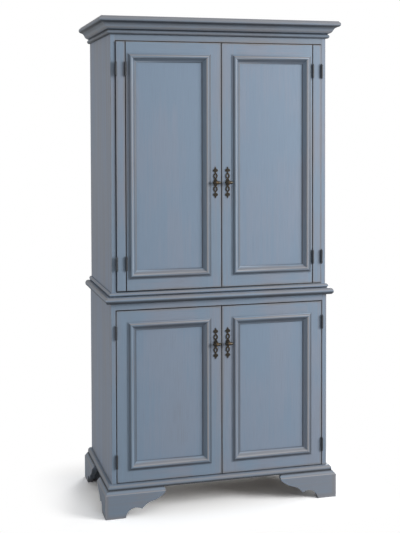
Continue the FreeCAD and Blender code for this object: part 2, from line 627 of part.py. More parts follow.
def door_frame(name, side, outer, moulding_outer, bottom, top, face, handle):
    depth = (face, f"{face} + door_thick")
    sight_outer = f"({moulding_outer} - moulding_seat)"
    sight_bottom = f"({bottom} + moulding_border + moulding_seat)"
    sight_top = f"({top} - moulding_border - moulding_seat)"
    groove_x = sides(side, f"{SIGHT_INNER} - panel_tongue", f"{sight_outer} + panel_tongue")
    groove_y = (f"{face} + panel_recess", f"{face} + panel_recess + panel_thick")
    groove_z = (f"{sight_bottom} - panel_tongue", f"{sight_top} + panel_tongue")
    groove = block(f"{name}_groove", groove_x, groove_y, groove_z)
    bolt_hole = rod(f"{name}_bolt_hole", "knob_bolt_radius + bolt_clearance", "door_thick",
                    f"{side} * handle_margin", f"{face} + door_thick", handle, STAND_UP)
    inner_stile = block(f"{name}_inner_stile", sides(side, DOOR_INNER, SIGHT_INNER), depth, (bottom, top))
    outer_stile = block(f"{name}_outer_stile", sides(side, sight_outer, outer), depth, (bottom, top))
    rail_x = sides(side, SIGHT_INNER, sight_outer)
    bottom_rail = block(f"{name}_bottom_rail", rail_x, depth, (bottom, sight_bottom))
    top_rail = block(f"{name}_top_rail", rail_x, depth, (sight_top, top))
    node(f"{name}_door_frame",
         cut(f"{name}_inner_stile", inner_stile, groove, bolt_hole),
         cut(f"{name}_outer_stile", outer_stile, groove),
         cut(f"{name}_bottom_rail", bottom_rail, groove),
         cut(f"{name}_top_rail", top_rail, groove))
    node(f"{name}_door_panel", block(f"{name}_panel", groove_x, groove_y, groove_z))


def door_moulding(name, profile, side, outer, bottom, top, face):
    low_x, high_x = sides(side, "moulding_margin", outer)
    low_z, high_z = f"({bottom} + moulding_border)", f"({top} - moulding_border)"
    width, height = f"({high_x}) - ({low_x})", f"{high_z} - {low_z}"
    corners = {
        "bottom": (width, low_x, low_z, 0),
        "right": (height, high_x, low_z, -90),
        "top": (width, high_x, high_z, 180),
        "left": (height, low_x, high_z, 90),
    }
    lengths = []
    for word, (length, x, z, turn) in corners.items():
        run = mitred_run(f"{name}_moulding_{word}", profile, length, 0, "moulding_width",
                         "moulding_ridge + panel_recess", 1, 1)
        lengths.append(place(run, x, face, z, Rotation(Y_AXIS, turn) * STAND_UP))
    node(f"{name}_door_moulding", *lengths)


def strike(name, side, top, face):
    """Steel plate on the door's back, in front of the magnet."""
    level = f"{top} + door_gap - stop_drop"
    node(f"{name}_door_strike",
         block(f"{name}_strike",
               sides(side, "catch_margin - catch_width / 2", "catch_margin + catch_width / 2"),
               (f"{face} + door_thick", f"{face} + door_thick + strike_thick"),
               (f"{level} - catch_height", level)))


def strips():
    for side, word in ((-1, "left"), (1, "right")):
        node(f"{word}_strip", block(f"{word}_strip", sides(side, STRIP_INNER, STRIP_OUTER),
                                    (UPPER_FACE, f"{UPPER_FACE} + door_thick"),
                                    (UPPER_DOOR_BOTTOM, UPPER_DOOR_TOP)))


# Handles: a pierced back plate and an oval knob on a stem, bolted through the stile.
def turned(name, *segments):
    """A body turned about Z from a half section drawn with X as the radius and Y along Z."""
    body = doc.addObject("PartDesign::Body", name)
    half = body.newObject("Sketcher::SketchObject", name + "_half_section")
    plane = next(item for item in body.Origin.OriginFeatures if item.Role == "XZ_Plane")
    half.AttachmentSupport = [(plane, "")]
    half.MapMode = "FlatFace"
    for points in segments:
        spots = [Vector(value(first), value(second), 0) for first, second in points]
        half.addGeometry(Part.LineSegment(*spots) if len(spots) == 2 else Part.Arc(*spots), False)
    spin = body.newObject("PartDesign::Revolution", name + "_turning")
    spin.Profile = half
    spin.ReferenceAxis = (half, ["V_Axis"])
    spin.Angle = 360
    return body


def oval(name, half_width, half_height, level):
    """An oval disc of the handle plate, in the plate's own frame."""
    ellipse = doc.addObject("Part::Ellipse", name + "_edge")
    bind(ellipse, {"MajorRadius": half_height, "MinorRadius": half_width})
    return extruded(name, ellipse, (0, 0, level), "handle_plate_thick", STAND_UP * Rotation(Z_AXIS, 90))


def finial(name, flip):
    """The three-lobed end of the handle plate."""
    def at(across, along):
        return (f"handle_width * {across}", f"{flip} * handle_length * {along}")

    outline = sketch_of(
        name + "_outline",
        (at(-0.13, 0.29), at(-0.13, 0.335)),
        (at(-0.13, 0.335), at(-0.5, 0.385), at(-0.2, 0.43)),
        (at(-0.2, 0.43), at(-0.12, 0.465), at(0, 0.5)),
        (at(0, 0.5), at(0.12, 0.465), at(0.2, 0.43)),
        (at(0.2, 0.43), at(0.5, 0.385), at(0.13, 0.335)),
        (at(0.13, 0.335), at(0.13, 0.29)),
        (at(0.13, 0.29), at(-0.13, 0.29)))
    return extruded(name, outline, (0, 0, 0), "handle_plate_thick", STAND_UP)


def handle_masters():
    """One back plate and one knob, at the origin with the door's face in the plane Y = 0."""
    ring = "handle_length * 0.205"
    disc = oval("handle_disc", "handle_width * 0.45", "handle_width * 0.8", 0)
    rings = [oval(f"handle_ring_{word}", "handle_width * 0.44", "handle_width * 0.6", level)
             for word, level in (("upper", ring), ("lower", f"-{ring}"))]
    ends = [finial("handle_finial_upper", 1), finial("handle_finial_lower", -1)]
    whole = boolean("Part::MultiFuse", "handle_plate_whole", disc, *rings, *ends)
    piercings = [oval(f"handle_piercing_{word}", "handle_width * 0.2", "handle_width * 0.34", level)
                 for word, level in (("upper", ring), ("lower", f"-{ring}"))]
    bore = rod("handle_plate_bore", "knob_bolt_radius + bolt_clearance", "handle_plate_thick",
               0, 0, 0, STAND_UP)
    plate = cut("handle_plate", whole, *piercings, bore)

    stem = turned(
        "knob_stem",
        ((0, 0), ("knob_height * 0.5", 0)),
        (("knob_height * 0.5", 0), ("knob_height * 0.27", "knob_stand_off * 0.18")),
        (("knob_height * 0.27", "knob_stand_off * 0.18"),
         ("knob_height * 0.22", "knob_stand_off * 0.4"),
         ("knob_height * 0.3", "knob_stand_off * 0.8")),
        (("knob_height * 0.3", "knob_stand_off * 0.8"), (0, "knob_stand_off * 0.8")),
        ((0, "knob_stand_off * 0.8"), (0, 0)))
    place(stem, 0, "-handle_plate_thick", 0, STAND_UP)
    grip = doc.addObject("Part::Ellipsoid", "knob_grip")
    bind(grip, {"Radius1": "knob_height / 2", "Radius2": "knob_width / 2", "Radius3": "knob_depth / 2"})
    place(grip, 0, "-knob_stand_off", 0)
    bolt = rod("knob_bolt", "knob_bolt_radius", "handle_plate_thick + door_thick - knob_bolt_radius",
               0, "door_thick - knob_bolt_radius", 0, STAND_UP)
    knob = boolean("Part::MultiFuse", "handle_knob", stem, grip, bolt)
    return plate, knob


def linked(name, master, x, y, z, turn=None):
    """A copy of a master at another place."""
    link = doc.addObject("App::Link", name)
    link.LinkedObject = master
    link.LinkTransform = False
    return place(link, x, y, z, turn)


# Hinges: butt hinges with three knuckles, leaves in the gap and a pin with pointed ends.
KNUCKLE_EDGE = "(barrel_length / 6)"
LEAF_START = "(barrel_radius + knuckle_clearance)"


def leaf(name, fixed):
    """One leaf with its knuckles. The hinge axis is Z; the fixed leaf lies on the -X side."""
    if fixed:
        plate_x = ("-door_gap / 2", "leaf_thick - door_gap / 2")
        levels = [("-barrel_length / 2", f"-{KNUCKLE_EDGE} - knuckle_clearance / 2"),
                  (f"{KNUCKLE_EDGE} + knuckle_clearance / 2", "barrel_length / 2")]
    else:
        plate_x = ("door_gap / 2 - leaf_thick", "door_gap / 2")
        levels = [(f"knuckle_clearance / 2 - {KNUCKLE_EDGE}", f"{KNUCKLE_EDGE} - knuckle_clearance / 2")]
    plate = block(f"{name}_plate", plate_x, (LEAF_START, "leaf_depth"),
                  ("-barrel_length / 2", "barrel_length / 2"))
    pieces = [plate]
    for count, (low, high) in enumerate(levels):
        pieces.append(block(f"{name}_neck{count}", plate_x, (0, LEAF_START), (low, high)))
        pieces.append(rod(f"{name}_knuckle{count}", "barrel_radius", f"({high}) - ({low})", 0, 0, low))
    whole = boolean("Part::MultiFuse", f"{name}_whole", *pieces)
    bore = rod(f"{name}_bore", "pin_radius + pin_clearance", "barrel_length", 0, 0, "-barrel_length / 2")
    return cut(name, whole, bore)


def hinge_masters():
    tip = "barrel_length / 2 + finial_length"
    shoulder = "barrel_length / 2"
    pin = turned(
        "hinge_pin",
        ((0, f"-({tip})"), ("barrel_radius * 0.3", f"-({tip}) + finial_length * 0.2")),
        (("barrel_radius * 0.3", f"-({tip}) + finial_length * 0.2"),
         ("barrel_radius * 0.9", f"-({shoulder})")),
        (("barrel_radius * 0.9", f"-({shoulder})"), ("pin_radius", f"-({shoulder})")),
        (("pin_radius", f"-({shoulder})"), ("pin_radius", shoulder)),
        (("pin_radius", shoulder), ("barrel_radius * 0.9", shoulder)),
        (("barrel_radius * 0.9", shoulder), ("barrel_radius * 0.3", f"{tip} - finial_length * 0.2")),
        (("barrel_radius * 0.3", f"{tip} - finial_length * 0.2"), (0, tip)),
        ((0, tip), (0, f"-({tip})")))
    return leaf("hinge_fixed_leaf", True), leaf("hinge_moving_leaf", False), pin


UPPER_HINGES = [f"({UPPER_DOOR_BOTTOM} + upper_hinge_inset)", f"({UPPER_DOOR_TOP} - upper_hinge_inset)"]
LOWER_HINGES = [f"({LOWER_DOOR_BOTTOM} + lower_hinge_inset)", f"({LOWER_DOOR_TOP} - lower_hinge_inset)"]
UPPER_AXIS_Y = f"({UPPER_FACE} - hinge_stand_off)"
LOWER_AXIS_Y = f"({LOWER_FACE} - hinge_stand_off)"
# The same leaf serves both sides of the armoire: turned upside down, it changes hands.
UPSIDE_DOWN = Rotation(Y_AXIS, 180)


def hinge_line(name, master, side, axis, y, levels):
    """Copies of one hinge piece along a hinge line."""
    turn = None if side < 0 else UPSIDE_DOWN
    return [linked(f"{name}_{count}", master, f"{side} * {axis}", y, level, turn)
            for count, level in enumerate(levels)]


def hinges():
    fixed, moving, pin = hinge_masters()
    case_leaves, case_pins = [], []
    for side, word in ((-1, "left"), (1, "right")):
        lines = ((f"upper_{word}", CASE_AXIS, UPPER_AXIS_Y, UPPER_HINGES),
                 (f"lower_{word}", LOWER_AXIS, LOWER_AXIS_Y, LOWER_HINGES))
        for name, axis, y, levels in lines:
            case_leaves += hinge_line(f"{name}_case_leaf", fixed, side, axis, y, levels)
            case_pins += hinge_line(f"{name}_case_pin", pin, side, axis, y, levels)
        strip_leaves = (
            hinge_line(f"{word}_strip_outer_leaf", moving, side, CASE_AXIS, UPPER_AXIS_Y, UPPER_HINGES)
            + hinge_line(f"{word}_strip_inner_leaf", fixed, side, STRIP_AXIS, UPPER_AXIS_Y, UPPER_HINGES))
        node(f"{word}_strip_hinge_leaves", *strip_leaves)
        node(f"{word}_strip_hinge_pins",
             *hinge_line(f"{word}_strip_pin", pin, side, STRIP_AXIS, UPPER_AXIS_Y, UPPER_HINGES))
        node(f"upper_{word}_door_hinge_leaves",
             *hinge_line(f"upper_{word}_door_leaf", moving, side, STRIP_AXIS, UPPER_AXIS_Y, UPPER_HINGES))
        node(f"lower_{word}_door_hinge_leaves",
             *hinge_line(f"lower_{word}_door_leaf", moving, side, LOWER_AXIS, LOWER_AXIS_Y, LOWER_HINGES))
    node("case_hinge_leaves", *case_leaves)
    node("case_hinge_pins", *case_pins)


def doors():
    profile = door_moulding_profile()
    plate, knob = handle_masters()
    for name, (side, outer, moulding_outer, bottom, top, face, handle) in DOORS.items():
        door_frame(name, side, outer, moulding_outer, bottom, top, face, handle)
        door_moulding(name, profile, side, moulding_outer, bottom, top, face)
        strike(name, side, top, face)
        spot = (f"{side} * handle_margin", face, handle)
        node(f"{name}_handle_plate", linked(f"{name}_plate_copy", plate, *spot))
        node(f"{name}_handle_knob", linked(f"{name}_knob_copy", knob, *spot))


lower_case()
top_board()
base_frame()
feet()
upper_case()
case_mouldings()
fittings()
strips()
doors()
hinges()
doc.recompute()

for thing in doc.Objects:
    if "Invalid" in thing.State or "Error" in thing.State:
        raise RuntimeError(f"{thing.Name} did not recompute: {thing.State}")

os.makedirs("parts", exist_ok=True)
for part in nodes:
    shape = Part.getShape(part)
    if shape.isNull() or not shape.isValid() or not shape.Solids:
        raise RuntimeError(f"{part.Label} has no valid solid")
    shape.exportStep(f"parts/{part.Label}.step")
    print(f"{part.Label}: {len(shape.Solids)} solids, {shape.Volume / 1000:.1f} cm3")
print(len(nodes), "nodes")
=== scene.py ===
import cmath
import json
import math

import bmesh
import bpy
from mathutils import Matrix, Vector

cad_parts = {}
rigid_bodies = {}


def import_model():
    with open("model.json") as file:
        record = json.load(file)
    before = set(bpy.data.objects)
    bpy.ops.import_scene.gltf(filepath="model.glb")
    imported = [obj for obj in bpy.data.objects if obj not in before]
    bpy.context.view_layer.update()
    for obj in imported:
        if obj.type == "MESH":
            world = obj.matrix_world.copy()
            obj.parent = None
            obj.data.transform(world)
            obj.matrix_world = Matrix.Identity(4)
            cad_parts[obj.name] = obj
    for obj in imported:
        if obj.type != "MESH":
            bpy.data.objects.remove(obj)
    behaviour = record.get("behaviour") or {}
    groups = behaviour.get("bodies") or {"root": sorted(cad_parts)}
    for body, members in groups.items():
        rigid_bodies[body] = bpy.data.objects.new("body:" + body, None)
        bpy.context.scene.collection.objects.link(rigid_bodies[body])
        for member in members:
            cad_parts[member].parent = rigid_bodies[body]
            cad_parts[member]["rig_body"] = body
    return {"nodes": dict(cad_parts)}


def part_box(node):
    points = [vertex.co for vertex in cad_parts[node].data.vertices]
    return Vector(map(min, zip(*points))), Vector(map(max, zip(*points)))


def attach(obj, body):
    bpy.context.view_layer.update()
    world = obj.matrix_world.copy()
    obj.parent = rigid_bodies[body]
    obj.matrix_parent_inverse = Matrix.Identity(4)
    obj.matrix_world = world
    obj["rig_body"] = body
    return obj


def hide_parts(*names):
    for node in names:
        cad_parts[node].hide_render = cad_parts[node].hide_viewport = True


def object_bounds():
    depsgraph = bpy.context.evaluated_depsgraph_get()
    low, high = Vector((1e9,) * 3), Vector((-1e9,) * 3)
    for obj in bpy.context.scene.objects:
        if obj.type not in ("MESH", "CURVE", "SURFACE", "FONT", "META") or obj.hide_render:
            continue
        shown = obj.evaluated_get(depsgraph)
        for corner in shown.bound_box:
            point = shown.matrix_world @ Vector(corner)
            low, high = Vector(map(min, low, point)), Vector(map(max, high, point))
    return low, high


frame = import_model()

# A painted television armoire: the finish of every piece, the light and the camera.
# Metres, +X to the right, +Y to the back, +Z up, the origin on the floor.
CAD_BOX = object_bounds()
scene = bpy.context.scene
scene.view_settings.view_transform = "Standard"
MM = 0.001


# Camera. It stands left of the middle, level with the upper doors, and its lens is shifted
# so that the whole armoire is in the frame with upright edges.
camera_data = bpy.data.cameras.new("camera")
camera_data.lens = 69.08
camera_data.sensor_width = 36
camera_data.shift_y = -0.1916
camera = bpy.data.objects.new("camera", camera_data)
camera.location = (-1.185, -4.247, 1.5665)
camera.rotation_euler = (math.radians(87.93), math.radians(0.17), math.radians(-15.24))
scene.collection.objects.link(camera)
scene.camera = camera


# Room. A white floor that keeps the armoire's soft shadow, with a shade painted on it deepest under the
# middle of the case, and white all round. A large soft key lamp stands on the right, a weaker one high
# in front, and weak ones light the left side and the back.
class Wire:
    """One output of a material's nodes. Arithmetic on it adds Math nodes."""

    def __init__(self, tree, socket=None):
        self.tree = tree
        self.socket = socket

    def add(self, kind, settings=None, inputs=None, output=0):
        """A node of any kind; the settings come first, then its inputs' values or wires."""
        made = self.tree.nodes.new(kind)
        for name, setting in (settings or {}).items():
            setattr(made, name, setting)
        for name, source in (inputs or {}).items():
            if isinstance(source, Wire):
                self.tree.links.new(source.socket, made.inputs[name])
            else:
                made.inputs[name].default_value = source
        return Wire(self.tree, made.outputs[output] if made.outputs else None)

    def math(self, operation, first, second):
        return self.add("ShaderNodeMath", {"operation": operation}, {0: first, 1: second})

    def __add__(self, other):
        return self.math("ADD", self, other)

    def __sub__(self, other):
        return self.math("SUBTRACT", self, other)

    def __rsub__(self, other):
        return self.math("SUBTRACT", other, self)

    def __mul__(self, other):
        return self.math("MULTIPLY", self, other)

    __radd__ = __add__
    __rmul__ = __mul__


def started(tree):
    """Empties a node tree and gives a wire to add from."""
    tree.nodes.clear()
    return Wire(tree)


def steps_up(value, low, high):
    """0 below low, 1 above high, smooth between."""
    return value.add("ShaderNodeMapRange", {"interpolation_type": "SMOOTHSTEP"},
                     {"Value": value, "From Min": low, "From Max": high})


def mixed(factor, first, second):
    """One colour over another."""
    return factor.add("ShaderNodeMix", {"data_type": "RGBA"}, {0: factor, 6: first, 7: second}, output=2)


def colour(red, green, blue):
    """A colour written as it looks on a screen, 0 to 255, turned into light by the sRGB curve."""
    def linear(level):
        level = level / 255
        return level / 12.92 if level <= 0.04045 else ((level + 0.055) / 1.055) ** 2.4
    return (linear(red), linear(green), linear(blue), 1)


# White is what the camera sees all round, and part of it is mirrored by what shines; the
# armoire itself is lit by a weaker sky.
AMBIENT = 0.38
MIRRORED_WHITE = 0.3
WHITE = (1, 1, 1, 1)
world = bpy.data.worlds.new("white_room")
world.use_nodes = True
scene.world = world
sky = started(world.node_tree)
seen = sky.add("ShaderNodeLightPath")
mirrored = sky.add("ShaderNodeLightPath", output="Is Glossy Ray")
plain = sky.add("ShaderNodeBackground", inputs={"Color": WHITE, "Strength": AMBIENT})
bright = sky.add("ShaderNodeBackground", inputs={"Color": WHITE, "Strength": 1})
background = sky.add("ShaderNodeMixShader", inputs={
    0: seen + mirrored * MIRRORED_WHITE, 1: plain, 2: bright})
sky.add("ShaderNodeOutputWorld", inputs={"Surface": background})

# The floor that is seen reaches white in the lamps' light, and the armoire gets only what a pale grey
# one throws back. Outside the case's footprint the shadow fades to plain white over its reach, and well
# inside the footprint a shade is painted on the floor in a deeper tone.
FLOOR_SIZE = 24
FLOOR_SEEN = (1.45, 1.45, 1.45, 1)
FLOOR_PAINTED_SHADE = (1.0, 1.0, 1.0, 1)
FLOOR_BOUNCE = (0.3, 0.3, 0.3, 1)
ANY_HEIGHT = 10
FOOTPRINT = (0.49, 0.26, ANY_HEIGHT)
SHADOW_REACH = (0.0, 0.28)
PAINTED_SHADE_REACH = (0.15, 0.26)
floor_material = bpy.data.materials.new("white_floor")
floor_material.use_nodes = True
ground = started(floor_material.node_tree)
seen = ground.add("ShaderNodeLightPath")
mirrored = ground.add("ShaderNodeLightPath", output="Is Glossy Ray")
spot = ground.add("ShaderNodeTexCoord", output="Object")
spread = ground.add("ShaderNodeVectorMath", {"operation": "ABSOLUTE"}, {0: spot})
past = ground.add("ShaderNodeVectorMath", {"operation": "SUBTRACT"}, {0: spread, 1: FOOTPRINT})
beside = ground.add("ShaderNodeVectorMath", {"operation": "MAXIMUM"}, {0: past, 1: (0, 0, 0)})
distance = ground.add("ShaderNodeVectorMath", {"operation": "LENGTH"}, {0: beside}, output="Value")
past_x = ground.add("ShaderNodeSeparateXYZ", inputs={0: past}, output="X")
past_y = ground.add("ShaderNodeSeparateXYZ", inputs={0: past}, output="Y")
# Painted shade: the floor's colour deepens well inside the case's footprint.
inside = 0 - ground.math("MAXIMUM", past_x, past_y)
shaded = mixed(steps_up(inside, *PAINTED_SHADE_REACH), FLOOR_SEEN, FLOOR_PAINTED_SHADE)
kept = ground.add("ShaderNodeBsdfDiffuse", inputs={"Color": shaded})
white = ground.add("ShaderNodeEmission", inputs={"Color": WHITE, "Strength": 1})
bounce = ground.add("ShaderNodeBsdfDiffuse", inputs={"Color": FLOOR_BOUNCE})
looked_at = ground.add("ShaderNodeMixShader",
                       inputs={0: steps_up(distance, *SHADOW_REACH), 1: kept, 2: white})
surface = ground.add("ShaderNodeMixShader", inputs={
    0: seen + mirrored * MIRRORED_WHITE, 1: bounce, 2: looked_at})
ground.add("ShaderNodeOutputMaterial", inputs={"Surface": surface})

slab = bmesh.new()
bmesh.ops.create_grid(slab, x_segments=1, y_segments=1, size=FLOOR_SIZE / 2)
floor_mesh = bpy.data.meshes.new("floor")
slab.to_mesh(floor_mesh)
slab.free()
floor_mesh.materials.append(floor_material)
floor = bpy.data.objects.new("floor", floor_mesh)
scene.collection.objects.link(floor)


NEUTRAL = (1, 1, 1)
COOL = (0.98, 0.99, 1)


def lamp(name, place, aim, size, watts, tint=NEUTRAL):
    """A square soft lamp."""
    data = bpy.data.lights.new(name, "AREA")
    data.size = size
    data.energy = watts
    data.color = tint
    made = bpy.data.objects.new(name, data)
    made.location = place
    made.rotation_euler = (Vector(aim) - Vector(place)).to_track_quat("-Z", "Y").to_euler()
    scene.collection.objects.link(made)


lamp("key_lamp", place=(4.1, -3.2, 2.25), aim=(0, -0.2, 0.8), size=2.4, watts=246)
lamp("top_lamp", place=(0.6, -4.2, 5.2), aim=(0, -0.2, 1.1), size=2.5, watts=40)
lamp("side_lamp", place=(-4.6, 0.2, 0.45), aim=(-0.46, 0.1, 0.2), size=1.9, watts=50, tint=COOL)
lamp("back_lamp", place=(2.0, 4.5, 2.4), aim=(0, 0.2, 1.0), size=2.0, watts=120)


# Feet. Mitred boards sawn to a bracket outline, with a bevelled top edge, on corner blocks.
# They are painted like all the outside: blue-grey under a dark glaze, which was wiped off the flats,
# left thin beside the edges and thick in the quirks, and rubbed through on the crests. The same tones
# also paint shade on the undersides, in the gaps and in the quirks, and highlights on the crests that
# face the light.
PAINT_BLUE = colour(127, 146, 166)
PAINT_GREY = colour(135, 146, 163)
STREAK = colour(114, 127, 144)
TRIM_BLUE = colour(122, 137, 154)
TRIM_GREY = colour(127, 136, 149)
WASH = colour(129, 131, 137)
RUBBED_AND_HIGHLIGHT = colour(152, 154, 160)
GLAZE_AND_SHADE = colour(44, 47, 52)
# How fully the darker hairs, the wash, and the glaze with the painted shade cover what lies under them.
HAIR_COVER = 0.35
WASH_COVER = 0.9
GLAZE_AND_SHADE_COVER = 0.92
# Noise per metre: across the brush marks and along them; for the clouds, along X, Y and Z.
HAIR_SCALE = (420, 9, 1)
STREAK_SCALE = (95, 1.5, 1)
BAND_SCALE = (24, 0.7, 1)
CLOUD_SCALE = (7, 7, 2.5)
PAINT_ROUGHNESS = 0.46
BRUSH_RELIEF = 0.2 * MM
# Boards: the wash beside an edge is at most a share of a narrow board's width, and the arris
# at most a share of its thickness.
WASH_BAND = 11 * MM
NARROW_BAND = 0.25
WASH_TONE = 0.55
# Painted shade: the sides that face a gap, and the floor under the doors, are painted dark.
GAP_SHADE_TONE = -0.9
ARRIS = 0.7 * MM
THIN_ARRIS = 0.15
ARRIS_STEPS = 2
SHARP = math.radians(30)
LEANING = 0.3


def noise(wire, vector, scale, detail):
    """Noise between 0 and 1 over a vector multiplied by a scale for each axis."""
    spread = wire.add("ShaderNodeVectorMath", {"operation": "MULTIPLY"}, {0: vector, 1: scale})
    return wire.add("ShaderNodeTexNoise", {"noise_dimensions": "3D"},
                    {"Vector": spread, "Scale": 1, "Detail": detail})


def finished_material(material, base, roughness, metallic, height, depth):
    """A principled surface; height is a wire, and depth its full relief in metres."""
    relief = base.add("ShaderNodeBump", inputs={"Strength": 1, "Distance": depth, "Height": height},
                      output="Normal")
    surface = base.add("ShaderNodeBsdfPrincipled", inputs={
        "Base Color": base, "Roughness": roughness, "Metallic": metallic, "Normal": relief})
    base.add("ShaderNodeOutputMaterial", inputs={"Surface": surface})
    return material


def new_material(name):
    """An empty material, and a wire to build its nodes with."""
    material = bpy.data.materials.new(name)
    material.use_nodes = True
    return material, started(material.node_tree)


def glaze_and_shade_paint(name, blue, grey, wiped):
    """Brushed paint, from the body's two blues up to the glaze. The tone attribute is 1 where it is
    rubbed through and where a highlight is painted, 0.5 under a thin wash and -1 under thick glaze and
    where shade is painted; wiped is how much of the wash lies on the flats as streaks."""
    material, paint = new_material(name)
    grain = paint.add("ShaderNodeUVMap", {"uv_map": "grain"})
    place = paint.add("ShaderNodeTexCoord", output="Object")
    tone = paint.add("ShaderNodeAttribute", {"attribute_name": "tone"}, output="Fac")
    hairs = noise(paint, grain, HAIR_SCALE, 3)
    streaks = noise(paint, grain, STREAK_SCALE, 3)
    bands = noise(paint, grain, BAND_SCALE, 2)
    clouds = noise(paint, place, CLOUD_SCALE, 2)
    ragged = (clouds - 0.5) * 0.9 + (hairs - 0.5) * 0.4
    body = mixed(steps_up(clouds + (streaks - 0.5) * 0.5, 0.38, 0.62), blue, grey)
    brushed = mixed(steps_up(hairs, 0.40, 0.85) * HAIR_COVER, body, STREAK)
    streaked = mixed(steps_up(streaks * 0.5 + bands * 0.5, 0.40, 0.60) * wiped, brushed, WASH)
    washed = mixed(steps_up(tone + ragged, 0.10, 0.55) * WASH_COVER, streaked, WASH)
    # High tones lay the rubbed colour as wear and as painted highlight; low tones lay the glaze colour
    # as glaze and as painted shade.
    rubbed_and_painted_highlight = mixed(steps_up(tone + ragged * 0.3, 0.50, 0.95) * WASH_COVER, washed, RUBBED_AND_HIGHLIGHT)
    glaze_and_painted_shade = mixed(steps_up(ragged * 0.2 - tone, 0.08, 1.0) * GLAZE_AND_SHADE_COVER, rubbed_and_painted_highlight, GLAZE_AND_SHADE)
    roughness = PAINT_ROUGHNESS + (streaks - 0.5) * 0.12
    relief = hairs + streaks * 0.6
    return finished_material(material, glaze_and_painted_shade, roughness, 0, relief, BRUSH_RELIEF)


case_paint = glaze_and_shade_paint("case_paint", PAINT_BLUE, PAINT_GREY, wiped=0.1)
trim_paint = glaze_and_shade_paint("trim_paint", TRIM_BLUE, TRIM_GREY, wiped=0.3)


def rounded_edges(bm, edges, arris):
    """Rounds edges and gives the new faces."""
    return bmesh.ops.bevel(bm, geom=edges, offset=arris, offset_type="OFFSET", affect="EDGES",
                           segments=ARRIS_STEPS, profile=0.5, material=-1,
                           clamp_overlap=True)["faces"]


def facing(face):
    """The axis that a face looks along, and which way."""
    axis = max(range(3), key=lambda number: abs(face.normal[number]))
    return axis, face.normal[axis] > 0


def cut_across(bm, axis, place):
    """Divides the faces with a plane across an axis."""
    spot, across = Vector(), Vector()
    spot[axis], across[axis] = place, 1
    everything = [*bm.verts, *bm.edges, *bm.faces]
    bmesh.ops.bisect_plane(bm, geom=everything, plane_co=spot, plane_no=across)


def give_tone(bm, faces, tone):
    """Gives one tone to some faces."""
    layer = bm.loops.layers.float["tone"]
    for face in faces:
        for loop in face.loops:
            loop[layer] = tone


def lay_grain(bm, grain):
    """Maps the surface in metres with v along the grain, which is axis 0, 1 or 2."""
    bm.normal_update()
    layer = bm.loops.layers.uv.new("grain")
    for face in bm.faces:
        axis = facing(face)[0]
        along = (grain + 1) % 3 if axis == grain else grain
        across = 3 - axis - along
        for loop in face.loops:
            loop[layer].uv = (loop.vert.co[across], loop.vert.co[along])


def side_of(letter):
    """x is the low side across X and X the high one; the same goes for y and z."""
    return "xyz".index(letter.lower()), letter.isupper()


def squared(low, high):
    """A plain block between two corners."""
    bm = bmesh.new()
    bmesh.ops.create_cube(bm, size=1)
    bmesh.ops.scale(bm, vec=high - low, verts=bm.verts)
    bmesh.ops.translate(bm, vec=(low + high) / 2, verts=bm.verts)
    return bm


def board(low, high, grain, joints="", gaps=""):
    """A squared board between two corners. Its free sides get rounded arrises and a wash beside them;
    joints lists the sides that meet other wood, and gaps the narrow sides painted dark as the shade
    inside the gaps between parts."""
    low, high = Vector(low), Vector(high)
    bm = squared(low, high)
    free = [side_of(letter) for letter in "xXyYzZ" if letter not in joints]
    edge_at = {(axis, upper): (high if upper else low)[axis] for axis, upper in free}
    bands = [min(WASH_BAND, span * NARROW_BAND) for span in high - low]
    for axis, upper in free:
        cut_across(bm, axis, edge_at[axis, upper] + bands[axis] * (-1 if upper else 1))
    tone = bm.loops.layers.float.new("tone")
    dark = [side_of(letter) for letter in gaps]
    bm.normal_update()
    sides = {face: facing(face) for face in bm.faces}
    for face, side in sides.items():
        for loop in face.loops:
            nearest = min((abs(loop.vert.co[axis] - edge) / bands[axis]
                           for (axis, upper), edge in edge_at.items() if axis != side[0]), default=1)
            washed = WASH_TONE * max(0, 1 - nearest)
            loop[tone] = GAP_SHADE_TONE if side in dark else washed
    arrises = [edge for edge in bm.edges if edge.calc_face_angle(0) > SHARP
               and all(sides[face] in free for face in edge.link_faces)]
    rounded = rounded_edges(bm, arrises, min(ARRIS, min(high - low) * THIN_ARRIS))
    bm.normal_update()
    give_tone(bm, rounded, WASH_TONE)
    give_tone(bm, [face for face in rounded for axis, upper in dark
                   if face.normal[axis] * (1 if upper else -1) > LEANING], GAP_SHADE_TONE)
    lay_grain(bm, grain)
    return bm


def gathered(boards):
    """One bmesh of several separate ones."""
    whole = bmesh.new()
    for bm in boards:
        mesh = bpy.data.meshes.new("loose_board")
        bm.to_mesh(mesh)
        bm.free()
        whole.from_mesh(mesh)
        bpy.data.meshes.remove(mesh)
    return whole


def dressed(bm, node, material):
    """The finished piece: it stands for a CAD node and moves with that node's body. Weighted
    normals keep its flat faces flat beside the rounded edges."""
    for face in bm.faces:
        face.smooth = True
    bm.normal_update()
    for edge in bm.edges:
        edge.smooth = edge.calc_face_angle(0) < SHARP
    name = node + "_dressed"
    mesh = bpy.data.meshes.new(name)
    bm.to_mesh(mesh)
    bm.free()
    mesh.materials.append(material)
    made = bpy.data.objects.new(name, mesh)
    made.modifiers.new("flat_faces", "WEIGHTED_NORMAL").keep_sharp = True
    scene.collection.objects.link(made)
    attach(made, frame["nodes"][node]["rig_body"])
    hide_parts(node)
    return made


def arc(start, through, end, steps=6):
    """Points of the circle through three spots, without the first, worked out with the spots as
    complex numbers."""
    a, b, c = complex(*start), complex(*through), complex(*end)
    ratio = (c - a) / (b - a)
    centre = a - (a - b) * (ratio - abs(ratio) ** 2) / (2j * ratio.imag)
    turn = cmath.phase((c - centre) / (a - centre))
    spots = [centre + (a - centre) * cmath.exp(1j * turn * step / steps) for step in range(1, steps + 1)]
    return [(spot.real, spot.imag) for spot in spots]


